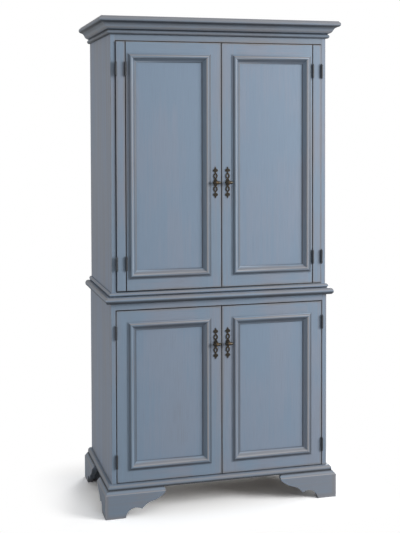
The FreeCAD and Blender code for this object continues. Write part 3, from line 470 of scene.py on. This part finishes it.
def traced(start, *moves):
    """An outline's points. A spot is a line to it; a pair of spots is an arc through the first."""
    points = [start]
    for move in moves:
        if isinstance(move[0], tuple):
            points += arc(points[-1], *move)
        else:
            points.append(move)
    return points


def tone_at(stops, place):
    """The tone at a place, on straight lines between the stops, which are (place, tone)."""
    for (before, first), (after, second) in zip(stops, stops[1:]):
        if place <= after:
            return first + (second - first) * max(0, place - before) / (after - before)
    return stops[-1][1]


FOOT_HEIGHT = 110 * MM
FOOT_BOARD = 22 * MM
FOOT_BEVEL_HEIGHT = 14 * MM
FOOT_BEVEL_DEPTH = 12 * MM
FOOT_PAD = 82 * MM
FOOT_WASH = 24 * MM
FOOT_RIM_TONE = 0.8
# The bevel is dark at its top, a painted shade under the base frame's edge, and rubbed light at its
# lower arris.
FOOT_BEVEL_TONES = ((0, 0.95), (1, -0.75))
GLUE_BLOCK = 42 * MM
REAR_BRACKET = 120 * MM
REAR_BRACKET_RISE = 0.7 * FOOT_HEIGHT
BEVEL_START = FOOT_HEIGHT - FOOT_BEVEL_HEIGHT
MOSTLY = 0.5
TINY = 0.1 * MM
SEAM = 0.01 * MM


def bracket_outline(length):
    """A bracket foot seen square on, from the corner along the board."""
    scallop = length - FOOT_PAD

    def at(along, up):
        return FOOT_PAD + scallop * along, FOOT_HEIGHT * up

    return traced(
        (0, 0), (FOOT_PAD, 0), (at(0.04, 0.18), at(0.14, 0.32)), (at(0.28, 0.355), at(0.41, 0.285)),
        (at(0.50, 0.43), at(0.65, 0.54)), (at(0.80, 0.62), at(0.92, 0.73)),
        (at(0.98, 0.81), at(1, 0.91)), (at(0.988, 0.97), at(0.955, 1)), (0, FOOT_HEIGHT))


def foot_board(outline, mitred, origin, along, inward):
    """One board of a foot, drawn with its outer face in Y = 0, brought to its corner of the case.
    Only the boards that show have the bevel; a mitred one is cut at 45 degrees at its corner."""
    bm = bmesh.new()
    bm.faces.new([bm.verts.new((x, 0, z)) for x, z in outline])
    bevelled = mitred or along[0] == 0
    cut_across(bm, 2, FOOT_WASH)
    cut_across(bm, 0, FOOT_WASH)
    cut_across(bm, 2, BEVEL_START)
    pushed = bmesh.ops.extrude_face_region(bm, geom=bm.faces[:])["geom"]
    behind = {item for item in pushed if isinstance(item, bmesh.types.BMVert)}
    bmesh.ops.translate(bm, vec=(0, FOOT_BOARD, 0), verts=list(behind))
    for vert in bm.verts:
        if bevelled and vert not in behind:
            vert.co.y = FOOT_BEVEL_DEPTH * max(0, vert.co.z - BEVEL_START) / FOOT_BEVEL_HEIGHT
        if mitred and vert.co.x < FOOT_WASH + TINY:
            vert.co.x += vert.co.y
    bmesh.ops.recalc_face_normals(bm, faces=bm.faces)
    tone = bm.loops.layers.float.new("tone")
    for face in bm.faces:
        for loop in face.loops:
            x, y, z = loop.vert.co
            washed = FOOT_RIM_TONE * max(0, 1 - min(x, z) / FOOT_WASH)
            under_base = tone_at(FOOT_BEVEL_TONES, (z - BEVEL_START) / FOOT_BEVEL_HEIGHT)
            loop[tone] = under_base if face.normal.z > MOSTLY and z >= BEVEL_START else washed
    arrises = [edge for edge in bm.edges if edge.calc_face_angle(0) > SHARP
               and not (mitred and all(abs(vert.co.x - vert.co.y) < TINY for vert in edge.verts))]
    give_tone(bm, rounded_edges(bm, arrises, ARRIS), WASH_TONE)
    bmesh.ops.dissolve_degenerate(bm, dist=SEAM, edges=bm.edges)
    lay_grain(bm, 0)
    turn = Matrix((along, inward, (0, 0, 1))).transposed().to_4x4()
    bmesh.ops.transform(bm, matrix=Matrix.Translation(origin) @ turn, verts=bm.verts)
    bmesh.ops.recalc_face_normals(bm, faces=bm.faces)
    return bm


for side, word in ((-1, "left"), (1, "right")):
    into = (-side, 0, 0)
    low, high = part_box(f"foot_front_{word}")
    corner = (low.x if side < 0 else high.x, low.y, 0)
    inner = corner[0] - side * FOOT_BOARD
    block_x = sorted((inner, inner - side * GLUE_BLOCK))
    front = foot_board(bracket_outline(high.x - low.x), True, corner, into, (0, 1, 0))
    flank = foot_board(bracket_outline(high.y - low.y), True, corner, (0, 1, 0), into)
    inner_y = low.y + FOOT_BOARD
    block = board((block_x[0], inner_y, 0), (block_x[1], inner_y + GLUE_BLOCK, FOOT_HEIGHT), 2)
    dressed(gathered([front, flank, block]), f"foot_front_{word}", trim_paint)

    low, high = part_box(f"foot_rear_{word}")
    corner = (low.x if side < 0 else high.x, high.y, 0)
    flank = foot_board(bracket_outline(high.y - low.y), False, corner, (0, -1, 0), into)
    rear_outline = traced((0, 0), (2 * FOOT_BOARD, 0), (REAR_BRACKET, REAR_BRACKET_RISE),
                          (REAR_BRACKET, FOOT_HEIGHT), (0, FOOT_HEIGHT))
    rear = foot_board(rear_outline, False, (inner, high.y, 0), into, (0, -1, 0))
    inner_y = high.y - FOOT_BOARD
    block = board((block_x[0], inner_y - GLUE_BLOCK, 0), (block_x[1], inner_y, FOOT_HEIGHT), 2)
    dressed(gathered([flank, rear, block]), f"foot_rear_{word}", trim_paint)


# Base frame. Four painted lengths laid flat under the lower case, mitred at the front and glued
# to the feet's blocks; the front and sides have a moulded edge that shows above the feet.
LOWER_LOW, LOWER_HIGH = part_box("lower_side_left")
LOWER_HALF = -LOWER_LOW.x
LOWER_FRONT = LOWER_LOW.y
BACK = LOWER_HIGH.y
BASE_WIDTH = 70 * MM


def extruded_row(bm, row, spots):
    """Extrudes a row of vertices and moves each new one to its spot."""
    edges = [edge for edge in {e for vert in row for e in vert.link_edges}
             if edge.verts[0] in row and edge.verts[1] in row]
    made = bmesh.ops.extrude_edge_only(bm, edges=edges)["geom"]
    fresh = {item for item in made if isinstance(item, bmesh.types.BMVert)}
    following = []
    for vert, spot in zip(row, spots):
        copy = next(e.other_vert(vert) for e in vert.link_edges if e.other_vert(vert) in fresh)
        copy.co = spot
        following.append(copy)
    return following


def moulding(profile, spots_of, ring, tone_of):
    """A moulding swept round mitred corners. spots_of gives the corners for one profile point,
    and tone_of the tone at a profile point of one length, counted from the first corner."""
    bm = bmesh.new()
    tone = bm.loops.layers.float.new("tone")
    grain = bm.loops.layers.uv.new("grain")
    row = [bm.verts.new(spot) for spot in spots_of(*profile[0])]
    for first, second in zip(row, row[1:] + row[:1] if ring else row[1:]):
        bm.edges.new((first, second))
    girth = 0
    for before, point in zip(profile, profile[1:] + profile[:1]):
        faces = set(bm.faces)
        following = extruded_row(bm, row, spots_of(*point))
        reach = girth + math.dist(before, point)
        for face in set(bm.faces) - faces:
            ends = sorted(row.index(vert) for vert in face.verts if vert in row)
            closes_ring = ends[1] != ends[0] + 1
            length = ends[1] if closes_ring else ends[0]
            span = row[ends[1]].co - row[ends[0]].co
            along = max(range(3), key=lambda axis: abs(span[axis]))
            for loop in face.loops:
                old = loop.vert in row
                loop[tone] = tone_of(length, *(before if old else point))
                loop[grain].uv = (girth if old else reach, loop.vert.co[along])
        row, girth = following, reach
    bmesh.ops.remove_doubles(bm, verts=bm.verts, dist=SEAM)
    bmesh.ops.holes_fill(bm, edges=bm.edges)
    bmesh.ops.recalc_face_normals(bm, faces=bm.faces)
    return bm


def round_case(half, front, level):
    """Corner spots of a moulding that goes round the front and sides of a case."""
    def spots(out, up):
        x, y, z = half + out, front - out, level + up
        return [(-x, BACK, z), (-x, y, z), (x, y, z), (x, BACK, z)]
    return spots


def toned_by_height(tall, stops):
    """Tones that follow the height in a case moulding, painting its shade and highlight bands with the
    glaze and wear.
    """
    return lambda length, out, up: tone_at(stops, up / tall)


low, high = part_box("base_frame")
BASE_OUT = high.x - LOWER_HALF
BASE_INNER = BASE_OUT - BASE_WIDTH
BASE_THICK = high.z - low.z
# Painted shade on the base frame's underside and painted highlight on its upper curve.
BASE_TONES = ((0, -1), (0.22, -0.8), (0.40, -0.35), (0.55, 0.3), (0.75, 0.62), (0.90, 0.5), (1, -0.3))
base_profile = traced(
    (BASE_INNER, 0), (BASE_OUT, 0), (BASE_OUT, BASE_THICK * 0.2), (BASE_OUT, BASE_THICK * 0.4),
    ((BASE_OUT * 0.8, BASE_THICK * 0.83), (BASE_OUT * 0.2, BASE_THICK)), (0, BASE_THICK),
    (BASE_INNER, BASE_THICK))
rear = board((-LOWER_HALF - BASE_INNER, BACK - BASE_WIDTH, low.z),
             (LOWER_HALF + BASE_INNER, BACK, high.z), 0)
lengths = moulding(base_profile, round_case(LOWER_HALF, LOWER_FRONT, low.z), False,
                   toned_by_height(BASE_THICK, BASE_TONES))
dressed(gathered([lengths, rear]), "base_frame", trim_paint)


# Lower and upper case. Boards glued together, painted outside and varnished inside, with a loose
# shelf below, thin plywood backs between the sides, and a lid on top. The two narrow strips that
# carry the upper doors are painted boards too.
WOOD_LIGHT = colour(196, 164, 120)
WOOD_DARK = colour(160, 122, 80)
BACK_LIGHT = colour(148, 130, 107)
BACK_DARK = colour(130, 112, 91)
FIGURE_SCALE = (26, 1.3, 1)
PORE_SCALE = (600, 14, 1)
FIGURE_RINGS = 46
WOOD_ROUGHNESS = 0.42
PORE_DEPTH = 0.12 * MM


def wood(name, light, dark):
    """Varnished wood with long figure along the grain and fine pores."""
    material, timber = new_material(name)
    grain = timber.add("ShaderNodeUVMap", {"uv_map": "grain"})
    figure = noise(timber, grain, FIGURE_SCALE, 4)
    pores = noise(timber, grain, PORE_SCALE, 2)
    rings = timber.math("SINE", figure * FIGURE_RINGS, 0)
    tinted = mixed(steps_up(rings, -1, 1) * 0.55 + pores * 0.3, light, dark)
    roughness = WOOD_ROUGHNESS + pores * 0.15
    return finished_material(material, tinted, roughness, 0, pores, PORE_DEPTH)


varnished_wood = wood("varnished_wood", WOOD_LIGHT, WOOD_DARK)
back_board = wood("back_board", BACK_LIGHT, BACK_DARK)

# The case sides take a lighter, bluer copy of the paint: painted light that lifts the sides turned away
# from the key lamp.
SIDE_BLUE = colour(132, 147, 169)
SIDE_GREY = colour(137, 147, 164)
lightened_side_paint = glaze_and_shade_paint("lightened_side_paint", SIDE_BLUE, SIDE_GREY, wiped=0.45)
FLAT = math.radians(1)
CAD_SEAM = 0.001 * MM
ARRIS_TONE = 0.6
FLOOR_ARRIS = 0.4 * MM
PAINTED_FLOOR = 24 * MM


def part_painted(made, material, chosen):
    """Gives the faces that are chosen one more material."""
    made.data.materials.append(material)
    for face in made.data.polygons:
        if chosen(face):
            face.material_index = len(made.data.materials) - 1


def looking(axis, way):
    """A test for faces that look up an axis, 1, or down it, -1."""
    return lambda face: face.normal[axis] * way > MOSTLY


def cleaned(node, arris, tone):
    """A copy of a CAD node's mesh: each solid closed, its flat faces whole and in one tone, its
    edges rounded and lighter."""
    bm = bmesh.new()
    bm.from_mesh(frame["nodes"][node].data)
    bmesh.ops.remove_doubles(bm, verts=bm.verts, dist=CAD_SEAM)
    bmesh.ops.dissolve_limit(bm, angle_limit=FLAT, verts=bm.verts, edges=bm.edges)
    bm.normal_update()
    bm.loops.layers.float.new("tone")
    give_tone(bm, bm.faces, tone)
    arrises = [edge for edge in bm.edges if edge.calc_face_angle(0) > SHARP]
    give_tone(bm, rounded_edges(bm, arrises, arris), ARRIS_TONE)
    return bm


for side, inward, door_side in (("left", 1, "X"), ("right", -1, "x")):
    looks_inward = looking(0, inward)
    for case in ("lower", "upper"):
        node = f"{case}_side_{side}"
        low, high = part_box(node)
        side_board = dressed(board(low, high, 2), node, lightened_side_paint)
        part_painted(side_board, case_paint, looking(1, -1))
        part_painted(side_board, varnished_wood,
                     lambda face: looks_inward(face) and face.center.y > low.y + WASH_BAND)
    node = f"{side}_strip"
    dressed(board(*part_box(node), 2, gaps=door_side + "zZ"), node, case_paint)
for node, paint in (("lower_top_rail", case_paint), ("upper_top_rail", trim_paint)):
    dressed(board(*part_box(node), 0, joints="xXZ", gaps="z"), node, paint)
for node in ("lower_floor", "lower_shelf", "upper_top_panel"):
    flat_board = dressed(board(*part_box(node), 0), node, varnished_wood)
    part_painted(flat_board, back_board, looking(2, -1))
    if node == "upper_top_panel":
        part_painted(flat_board, trim_paint, looking(2, 1))
for node in ("lower_back", "upper_back"):
    bm = cleaned(node, ARRIS, 0)
    lay_grain(bm, 2)
    dressed(bm, node, back_board)

# The television's floor is painted as far back as it shows in the gap under the doors, in the dark gap
# tone, a painted shade. The thin edge in that gap does without weighted normals, which would brighten it
# in spots.
low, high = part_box("upper_floor")
bm = cleaned("upper_floor", FLOOR_ARRIS, GAP_SHADE_TONE)
cut_across(bm, 1, low.y + PAINTED_FLOOR)
lay_grain(bm, 0)
tv_floor = dressed(bm, "upper_floor", varnished_wood)
part_painted(tv_floor, case_paint, lambda face: face.center.y < low.y + PAINTED_FLOOR)
tv_floor.modifiers.clear()


# Round-edged board. One wide board, screwed between the cases and painted; its edge is worked to
# a half round at the front and sides and left square at the back.
EDGE_ROUND = 13 * MM
EDGE_STEPS = 8
# Painted shade on the underside of the round edge and painted highlight on its upper curve.
ROUND_TONES = ((0, -0.9), (0.34, -0.85), (0.55, -0.4), (0.68, 0.5), (0.9, 0.6), (1, 0.3))
low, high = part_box("lower_top_board")
bm = squared(low, high)
tone = bm.loops.layers.float.new("tone")
flat_edges = [edge for edge in bm.edges
              if abs(edge.verts[0].co.z - edge.verts[1].co.z) < MM
              and (edge.verts[0].co + edge.verts[1].co).y / 2 < BACK - MM]
bmesh.ops.bevel(bm, geom=flat_edges, offset=EDGE_ROUND, offset_type="OFFSET",
                affect="EDGES", segments=EDGE_STEPS, profile=0.5, material=-1)
for face in bm.faces:
    for loop in face.loops:
        loop[tone] = tone_at(ROUND_TONES, (loop.vert.co.z - low.z) / (high.z - low.z))
lay_grain(bm, 0)
dressed(bm, "lower_top_board", case_paint)


# Case mouldings. A half-round bead covers the foot of the upper case, and a crown moulding its
# top: each is a front and two side lengths of painted wood, mitred at the corners and glued on.
UPPER_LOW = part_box("upper_side_left")[0]
UPPER_HALF = -UPPER_LOW.x
UPPER_FRONT = UPPER_LOW.y
# Painted shade under the bead and painted highlight on its upper round.
BEAD_TONES = ((0, -1), (0.2, -0.7), (0.4, -0.45), (0.55, 0.1), (0.75, 0.7), (0.95, 0.6), (1, -0.5))
low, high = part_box("waist_bead")
BEAD_OUT = high.x - UPPER_HALF
BEAD_FLAT = 0.4 * BEAD_OUT
BEAD_TALL = high.z - low.z
bead_profile = traced((0, 0), (BEAD_FLAT, 0), ((BEAD_OUT, BEAD_TALL / 2), (BEAD_FLAT, BEAD_TALL)),
                      (0, BEAD_TALL))
bead = moulding(bead_profile, round_case(UPPER_HALF, UPPER_FRONT, low.z), False,
                toned_by_height(BEAD_TALL, BEAD_TONES))
dressed(bead, "waist_bead", case_paint)

# Painted shade under each step of the crown and painted highlight on its upward curves.
CROWN_TONES = ((0, -0.9), (0.08, -0.55), (0.13, -0.4), (0.22, -0.4), (0.26, -1), (0.29, -0.9),
               (0.33, 0.5), (0.42, 0.5), (0.47, -0.1), (0.52, -0.35), (0.62, -0.5), (0.67, -0.85),
               (0.72, -0.8), (0.80, 0.2), (0.85, 0.6), (0.94, 0.7), (1, 0.5))
low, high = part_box("crown_moulding")
CROWN_OUT = high.x - UPPER_HALF
CROWN_TALL = high.z - low.z


def crown_at(out, up):
    """A spot of the crown's profile, as shares of its projection and height."""
    return CROWN_OUT * out, CROWN_TALL * up


crown_profile = traced(
    (0, 0), crown_at(0.08, 0), (crown_at(0.26, 0.12), crown_at(0.13, 0.24)), crown_at(0.16, 0.27),
    crown_at(0.20, 0.29), (crown_at(0.38, 0.35), crown_at(0.49, 0.46)),
    (crown_at(0.61, 0.59), crown_at(0.82, 0.665)), crown_at(0.88, 0.68),
    (crown_at(1, 0.82), crown_at(0.88, 0.96)), crown_at(0.84, 1), crown_at(0, 1))
crown = moulding(crown_profile, round_case(UPPER_HALF, UPPER_FRONT, low.z), False,
                 toned_by_height(CROWN_TALL, CROWN_TONES))
dressed(crown, "crown_moulding", trim_paint)


# Doors. Two stiles and two rails of painted wood, a flat panel in their groove, and a raised moulding of
# four mitred lengths glued over the joint. Each length of the moulding has its own tones over the glaze
# and wear: painted shade outside on the left and bottom lengths and inside on the other two, and painted
# highlight on the crest's slopes that face right and up, as light from the upper right falls.
PANEL_BLUE = colour(127, 146, 167)
PANEL_GREY = colour(133, 147, 166)
PANEL_TONGUE = 8 * MM
PANEL_COVERED = 24 * MM
PANEL_GLAZE_AND_SHADE = 24 * MM
# The glaze and painted shade at the panel's four edges, darkest on the left and bottom, each named by
# its axis and by whether it is the far one.
PANEL_TONES = {(0, False): -0.48, (0, True): -0.05, (2, False): -0.48, (2, True): -0.28}
MOULDING_WIDTH = 36 * MM
MOULDING_SEAT = 20 * MM
MOULDING_RIDGE = 9 * MM
PANEL_RECESS = 8 * MM
# Each length's tones run from its outer edge, 0, to the panel, 1; they paint shade on the slopes turned
# left and down and a highlight on the crest's slopes turned right and up.
LEFT_TONES = ((0, -0.15), (0.1, -0.58), (0.2, -0.52), (0.3, -0.52), (0.38, -0.2), (0.44, 0.5),
              (0.5, 0.45), (0.56, -0.45), (0.7, -0.62), (0.9, -0.68), (1, -0.75))
TOP_TONES = ((0, -0.4), (0.1, -0.2), (0.17, 0.5), (0.28, 1), (0.34, 0.3), (0.4, -0.5), (0.5, -0.7),
             (0.7, -0.58), (0.8, -0.62), (0.95, -0.5), (1, -0.75))
RIGHT_TONES = ((0, -0.63), (0.1, -0.71), (0.2, -0.72), (0.3, -0.6), (0.36, 0.5), (0.42, 1),
               (0.54, 1), (0.6, 0.1), (0.64, -0.1), (0.8, -0.3), (0.93, -0.5), (1, -0.9))
BOTTOM_TONES = ((0, -0.52), (0.1, -0.62), (0.2, -0.74), (0.3, -0.72), (0.4, -0.42), (0.46, 0.5),
                (0.55, 0.9), (0.7, 0.55), (0.85, 0.3), (0.92, -0.3), (1, -0.62))
LENGTH_TONES = (LEFT_TONES, TOP_TONES, RIGHT_TONES, BOTTOM_TONES)
panel_paint = glaze_and_shade_paint("panel_paint", PANEL_BLUE, PANEL_GREY, wiped=0)


def moulding_at(across, up):
    """A spot of the moulding's profile, as shares of its width and of its ridge's height."""
    return MOULDING_WIDTH * across, MOULDING_RIDGE * up


door_profile = traced(
    (0, 0), moulding_at(0, 0.26), (moulding_at(0.10, 0.36), moulding_at(0.18, 0.66)),
    (moulding_at(0.27, 0.92), moulding_at(0.40, 1)), (moulding_at(0.50, 0.9), moulding_at(0.61, 0.62)),
    (moulding_at(0.79, -0.2), (MOULDING_WIDTH, MOULDING_RIDGE * 0.25 - PANEL_RECESS)),
    (MOULDING_WIDTH, -PANEL_RECESS), (MOULDING_SEAT, -PANEL_RECESS), (MOULDING_SEAT, 0))


def door_tone(length, across, up):
    """The glaze, wear, painted shade and painted highlight on a door's moulding."""
    return tone_at(LENGTH_TONES[length], across / MOULDING_WIDTH)


def round_panel(low, high, face):
    """Corner spots of a moulding that goes round a door panel, from the bottom left one up."""
    def spots(across, up):
        left, right = low.x + across, high.x - across
        bottom, top = low.z + across, high.z - across
        y = face - up
        return [(left, y, bottom), (left, y, top), (right, y, top), (right, y, bottom)]
    return spots


for door in ("upper_left", "upper_right", "lower_left", "lower_right"):
    low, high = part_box(f"{door}_door_frame")
    panel_low, panel_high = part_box(f"{door}_door_panel")
    left, right = panel_low.x + PANEL_TONGUE, panel_high.x - PANEL_TONGUE
    bottom, top = panel_low.z + PANEL_TONGUE, panel_high.z - PANEL_TONGUE
    near, far = low.y, high.y
    boards = [
        board((low.x, near, low.z), (left, far, high.z), 2, joints="X", gaps="xzZ"),
        board((right, near, low.z), (high.x, far, high.z), 2, joints="x", gaps="XzZ"),
        board((left, near, low.z), (right, far, bottom), 0, joints="xXZ", gaps="z"),
        board((left, near, top), (right, far, high.z), 0, joints="xXz", gaps="Z"),
    ]
    dressed(gathered(boards), f"{door}_door_frame", case_paint)

    bm = board(panel_low, panel_high, 2, joints="xXyYzZ")
    tone = bm.loops.layers.float["tone"]
    front = next(face for face in bm.faces if facing(face) == (1, False))
    bmesh.ops.inset_individual(bm, faces=[front], thickness=PANEL_COVERED)
    border = bmesh.ops.inset_individual(bm, faces=[front], thickness=PANEL_GLAZE_AND_SHADE)["faces"]
    # The border ring beside the moulding gets glaze and painted shade.
    for face in border:
        offset = face.calc_center_median() - (panel_low + panel_high) / 2
        axis = max((2, 0), key=lambda way: abs(offset[way]) / (panel_high - panel_low)[way])
        for loop in face.loops:
            loop[tone] = PANEL_TONES[axis, offset[axis] > 0] * (loop.vert not in front.verts)
    dressed(bm, f"{door}_door_panel", panel_paint)

    low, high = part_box(f"{door}_door_moulding")
    bm = moulding(door_profile, round_panel(low, high, near), True, door_tone)
    dressed(bm, f"{door}_door_moulding", case_paint)


# Handles. Pierced cast plates with pointed ends and an oval knob on a stem, of brass gone brown-black,
# bright where hands rub it; each knob is lighter towards its middle, partly worn and partly a painted
# highlight. The knob's bolt goes through the stile.
BRASS_DARK = colour(65, 61, 54)
BRASS_WARM = colour(129, 108, 84)
MOTTLE_SCALE = (160, 160, 160)
PIT_SCALE = (900, 900, 900)
PIT_DEPTH = 0.08 * MM
DULL_TONE = -0.3
PLATE_ARRIS = 0.7 * MM
STEM_HALF = 7.5 * MM
BOLT_HALF = 2 * MM
TURNED_STEPS = 24
# The oval knob has a groove near each end, given as shares of its half width and its radius.
KNOB_STEPS = 28
KNOB_GROOVE = 0.66
KNOB_GROOVE_REACH = 0.06
KNOB_GROOVE_RADIUS = 0.93
# The knob's tones run from its middle, 0, to its ends, 1: lighter in the middle, partly wear and partly
# a painted highlight.
KNOB_TONES = ((0, 0.4), (1, -1))


def aged_metal(name, dark, warm, roughness, metallic=0.85):
    """Metal under a mottled skin; the skin is worn through where the tone is high, and on the knobs the
    high tone is also a painted highlight.
    """
    material, metal = new_material(name)
    place = metal.add("ShaderNodeTexCoord", output="Object")
    tone = metal.add("ShaderNodeAttribute", {"attribute_name": "tone"}, output="Fac")
    mottle = noise(metal, place, MOTTLE_SCALE, 4)
    pits = noise(metal, place, PIT_SCALE, 2)
    tinted = mixed(steps_up(mottle - 0.5 + tone * 0.5, -0.10, 0.45), dark, warm)
    pitted = roughness + (pits - 0.5) * 0.25
    return finished_material(material, tinted, pitted, metallic, pits, PIT_DEPTH)


def turned(profile, centre, axis, tone_of):
    """A body turned about an axis through its centre; the profile holds (along, radius)."""
    bm = bmesh.new()
    verts = [bm.verts.new((along, 0, radius)) for along, radius in profile]
    for first, second in zip(verts, verts[1:]):
        bm.edges.new((first, second))
    bmesh.ops.spin(bm, geom=[*bm.verts, *bm.edges], cent=(0, 0, 0), axis=(1, 0, 0),
                   angle=2 * math.pi, steps=TURNED_STEPS, use_merge=True)
    bmesh.ops.remove_doubles(bm, verts=bm.verts, dist=CAD_SEAM)
    bmesh.ops.recalc_face_normals(bm, faces=bm.faces)
    tone = bm.loops.layers.float.new("tone")
    for face in bm.faces:
        for loop in face.loops:
            loop[tone] = tone_of(loop.vert.co.x)
    turn = Vector((1, 0, 0)).rotation_difference(Vector(axis)).to_matrix().to_4x4()
    bmesh.ops.transform(bm, matrix=Matrix.Translation(centre) @ turn, verts=bm.verts)
    return bm


aged_brass = aged_metal("aged_brass", BRASS_DARK, BRASS_WARM, 0.36)
for door in ("upper_left", "upper_right", "lower_left", "lower_right"):
    node = f"{door}_handle_plate"
    dressed(cleaned(node, PLATE_ARRIS, DULL_TONE), node, aged_brass)
    plate_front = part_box(node)[0].y

    node = f"{door}_handle_knob"
    low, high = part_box(node)
    half = (high.x - low.x) / 2
    radius = (high.z - low.z) / 2
    middle = Vector(((low.x + high.x) / 2, low.y + radius, (low.z + high.z) / 2))
    grip_profile = []
    for step in range(KNOB_STEPS + 1):
        angle = math.pi * step / KNOB_STEPS
        share = -math.cos(angle)
        grooved = abs(abs(share) - KNOB_GROOVE) < KNOB_GROOVE_REACH
        groove = KNOB_GROOVE_RADIUS if grooved else 1
        grip_profile.append((half * share, radius * math.sin(angle) * groove))
    grip = turned(grip_profile, middle, (1, 0, 0), lambda along: tone_at(KNOB_TONES, abs(along) / half))
    reach = plate_front - middle.y
    stem_profile = traced(
        (0, 0), (0, radius * 0.6), ((reach * 0.6, radius * 0.44), (reach * 0.82, radius * 0.54)),
        (reach, STEM_HALF), (reach, BOLT_HALF), (high.y - middle.y, BOLT_HALF), (high.y - middle.y, 0))
    stem = turned(stem_profile, middle, (0, 1, 0), lambda along: DULL_TONE)
    dressed(gathered([grip, stem]), node, aged_brass)


# Hinges. Butt hinges of dark bronze: leaves with rolled knuckles, fixed in the gaps to the edges
# of the doors, strips and case sides, and loose pins with pointed ends.
HINGE_DARK = colour(58, 61, 66)
HINGE_WARM = colour(84, 86, 90)
HINGE_ARRIS = 0.25 * MM
hinge_bronze = aged_metal("hinge_bronze", HINGE_DARK, HINGE_WARM, 0.5, metallic=0.2)
for node in frame["nodes"]:
    if "hinge" in node:
        dressed(cleaned(node, HINGE_ARRIS, DULL_TONE), node, hinge_bronze)


# Small fittings. Wooden battens that stop the doors, plastic magnetic catches and their steel
# strikes, the zinc-plated screws that join the cases, and the brass pins under the shelf.
STEEL_DARK = colour(120, 122, 125)
STEEL_LIGHT = colour(176, 178, 180)
PIN_DARK = colour(128, 104, 62)
PIN_LIGHT = colour(188, 160, 104)
CATCH_DARK = colour(58, 44, 36)
CATCH_LIGHT = colour(84, 68, 56)
STEEL_ARRIS = 0.2 * MM
PIN_ARRIS = 0.3 * MM
CATCH_ARRIS = 0.8 * MM
zinc_steel = aged_metal("zinc_steel", STEEL_DARK, STEEL_LIGHT, 0.35)
pin_brass = aged_metal("pin_brass", PIN_DARK, PIN_LIGHT, 0.30)
catch_plastic = aged_metal("catch_plastic", CATCH_DARK, CATCH_LIGHT, 0.42, metallic=0)
for node in frame["nodes"]:
    if node.endswith("strike") or node == "section_screws":
        dressed(cleaned(node, STEEL_ARRIS, 0), node, zinc_steel)
dressed(cleaned("lower_shelf_pins", PIN_ARRIS, 0), "lower_shelf_pins", pin_brass)
dressed(cleaned("door_catches", CATCH_ARRIS, 0), "door_catches", catch_plastic)
stops = cleaned("door_stops", ARRIS, 0)
lay_grain(stops, 0)
dressed(stops, "door_stops", varnished_wood)

low, high = CAD_BOX
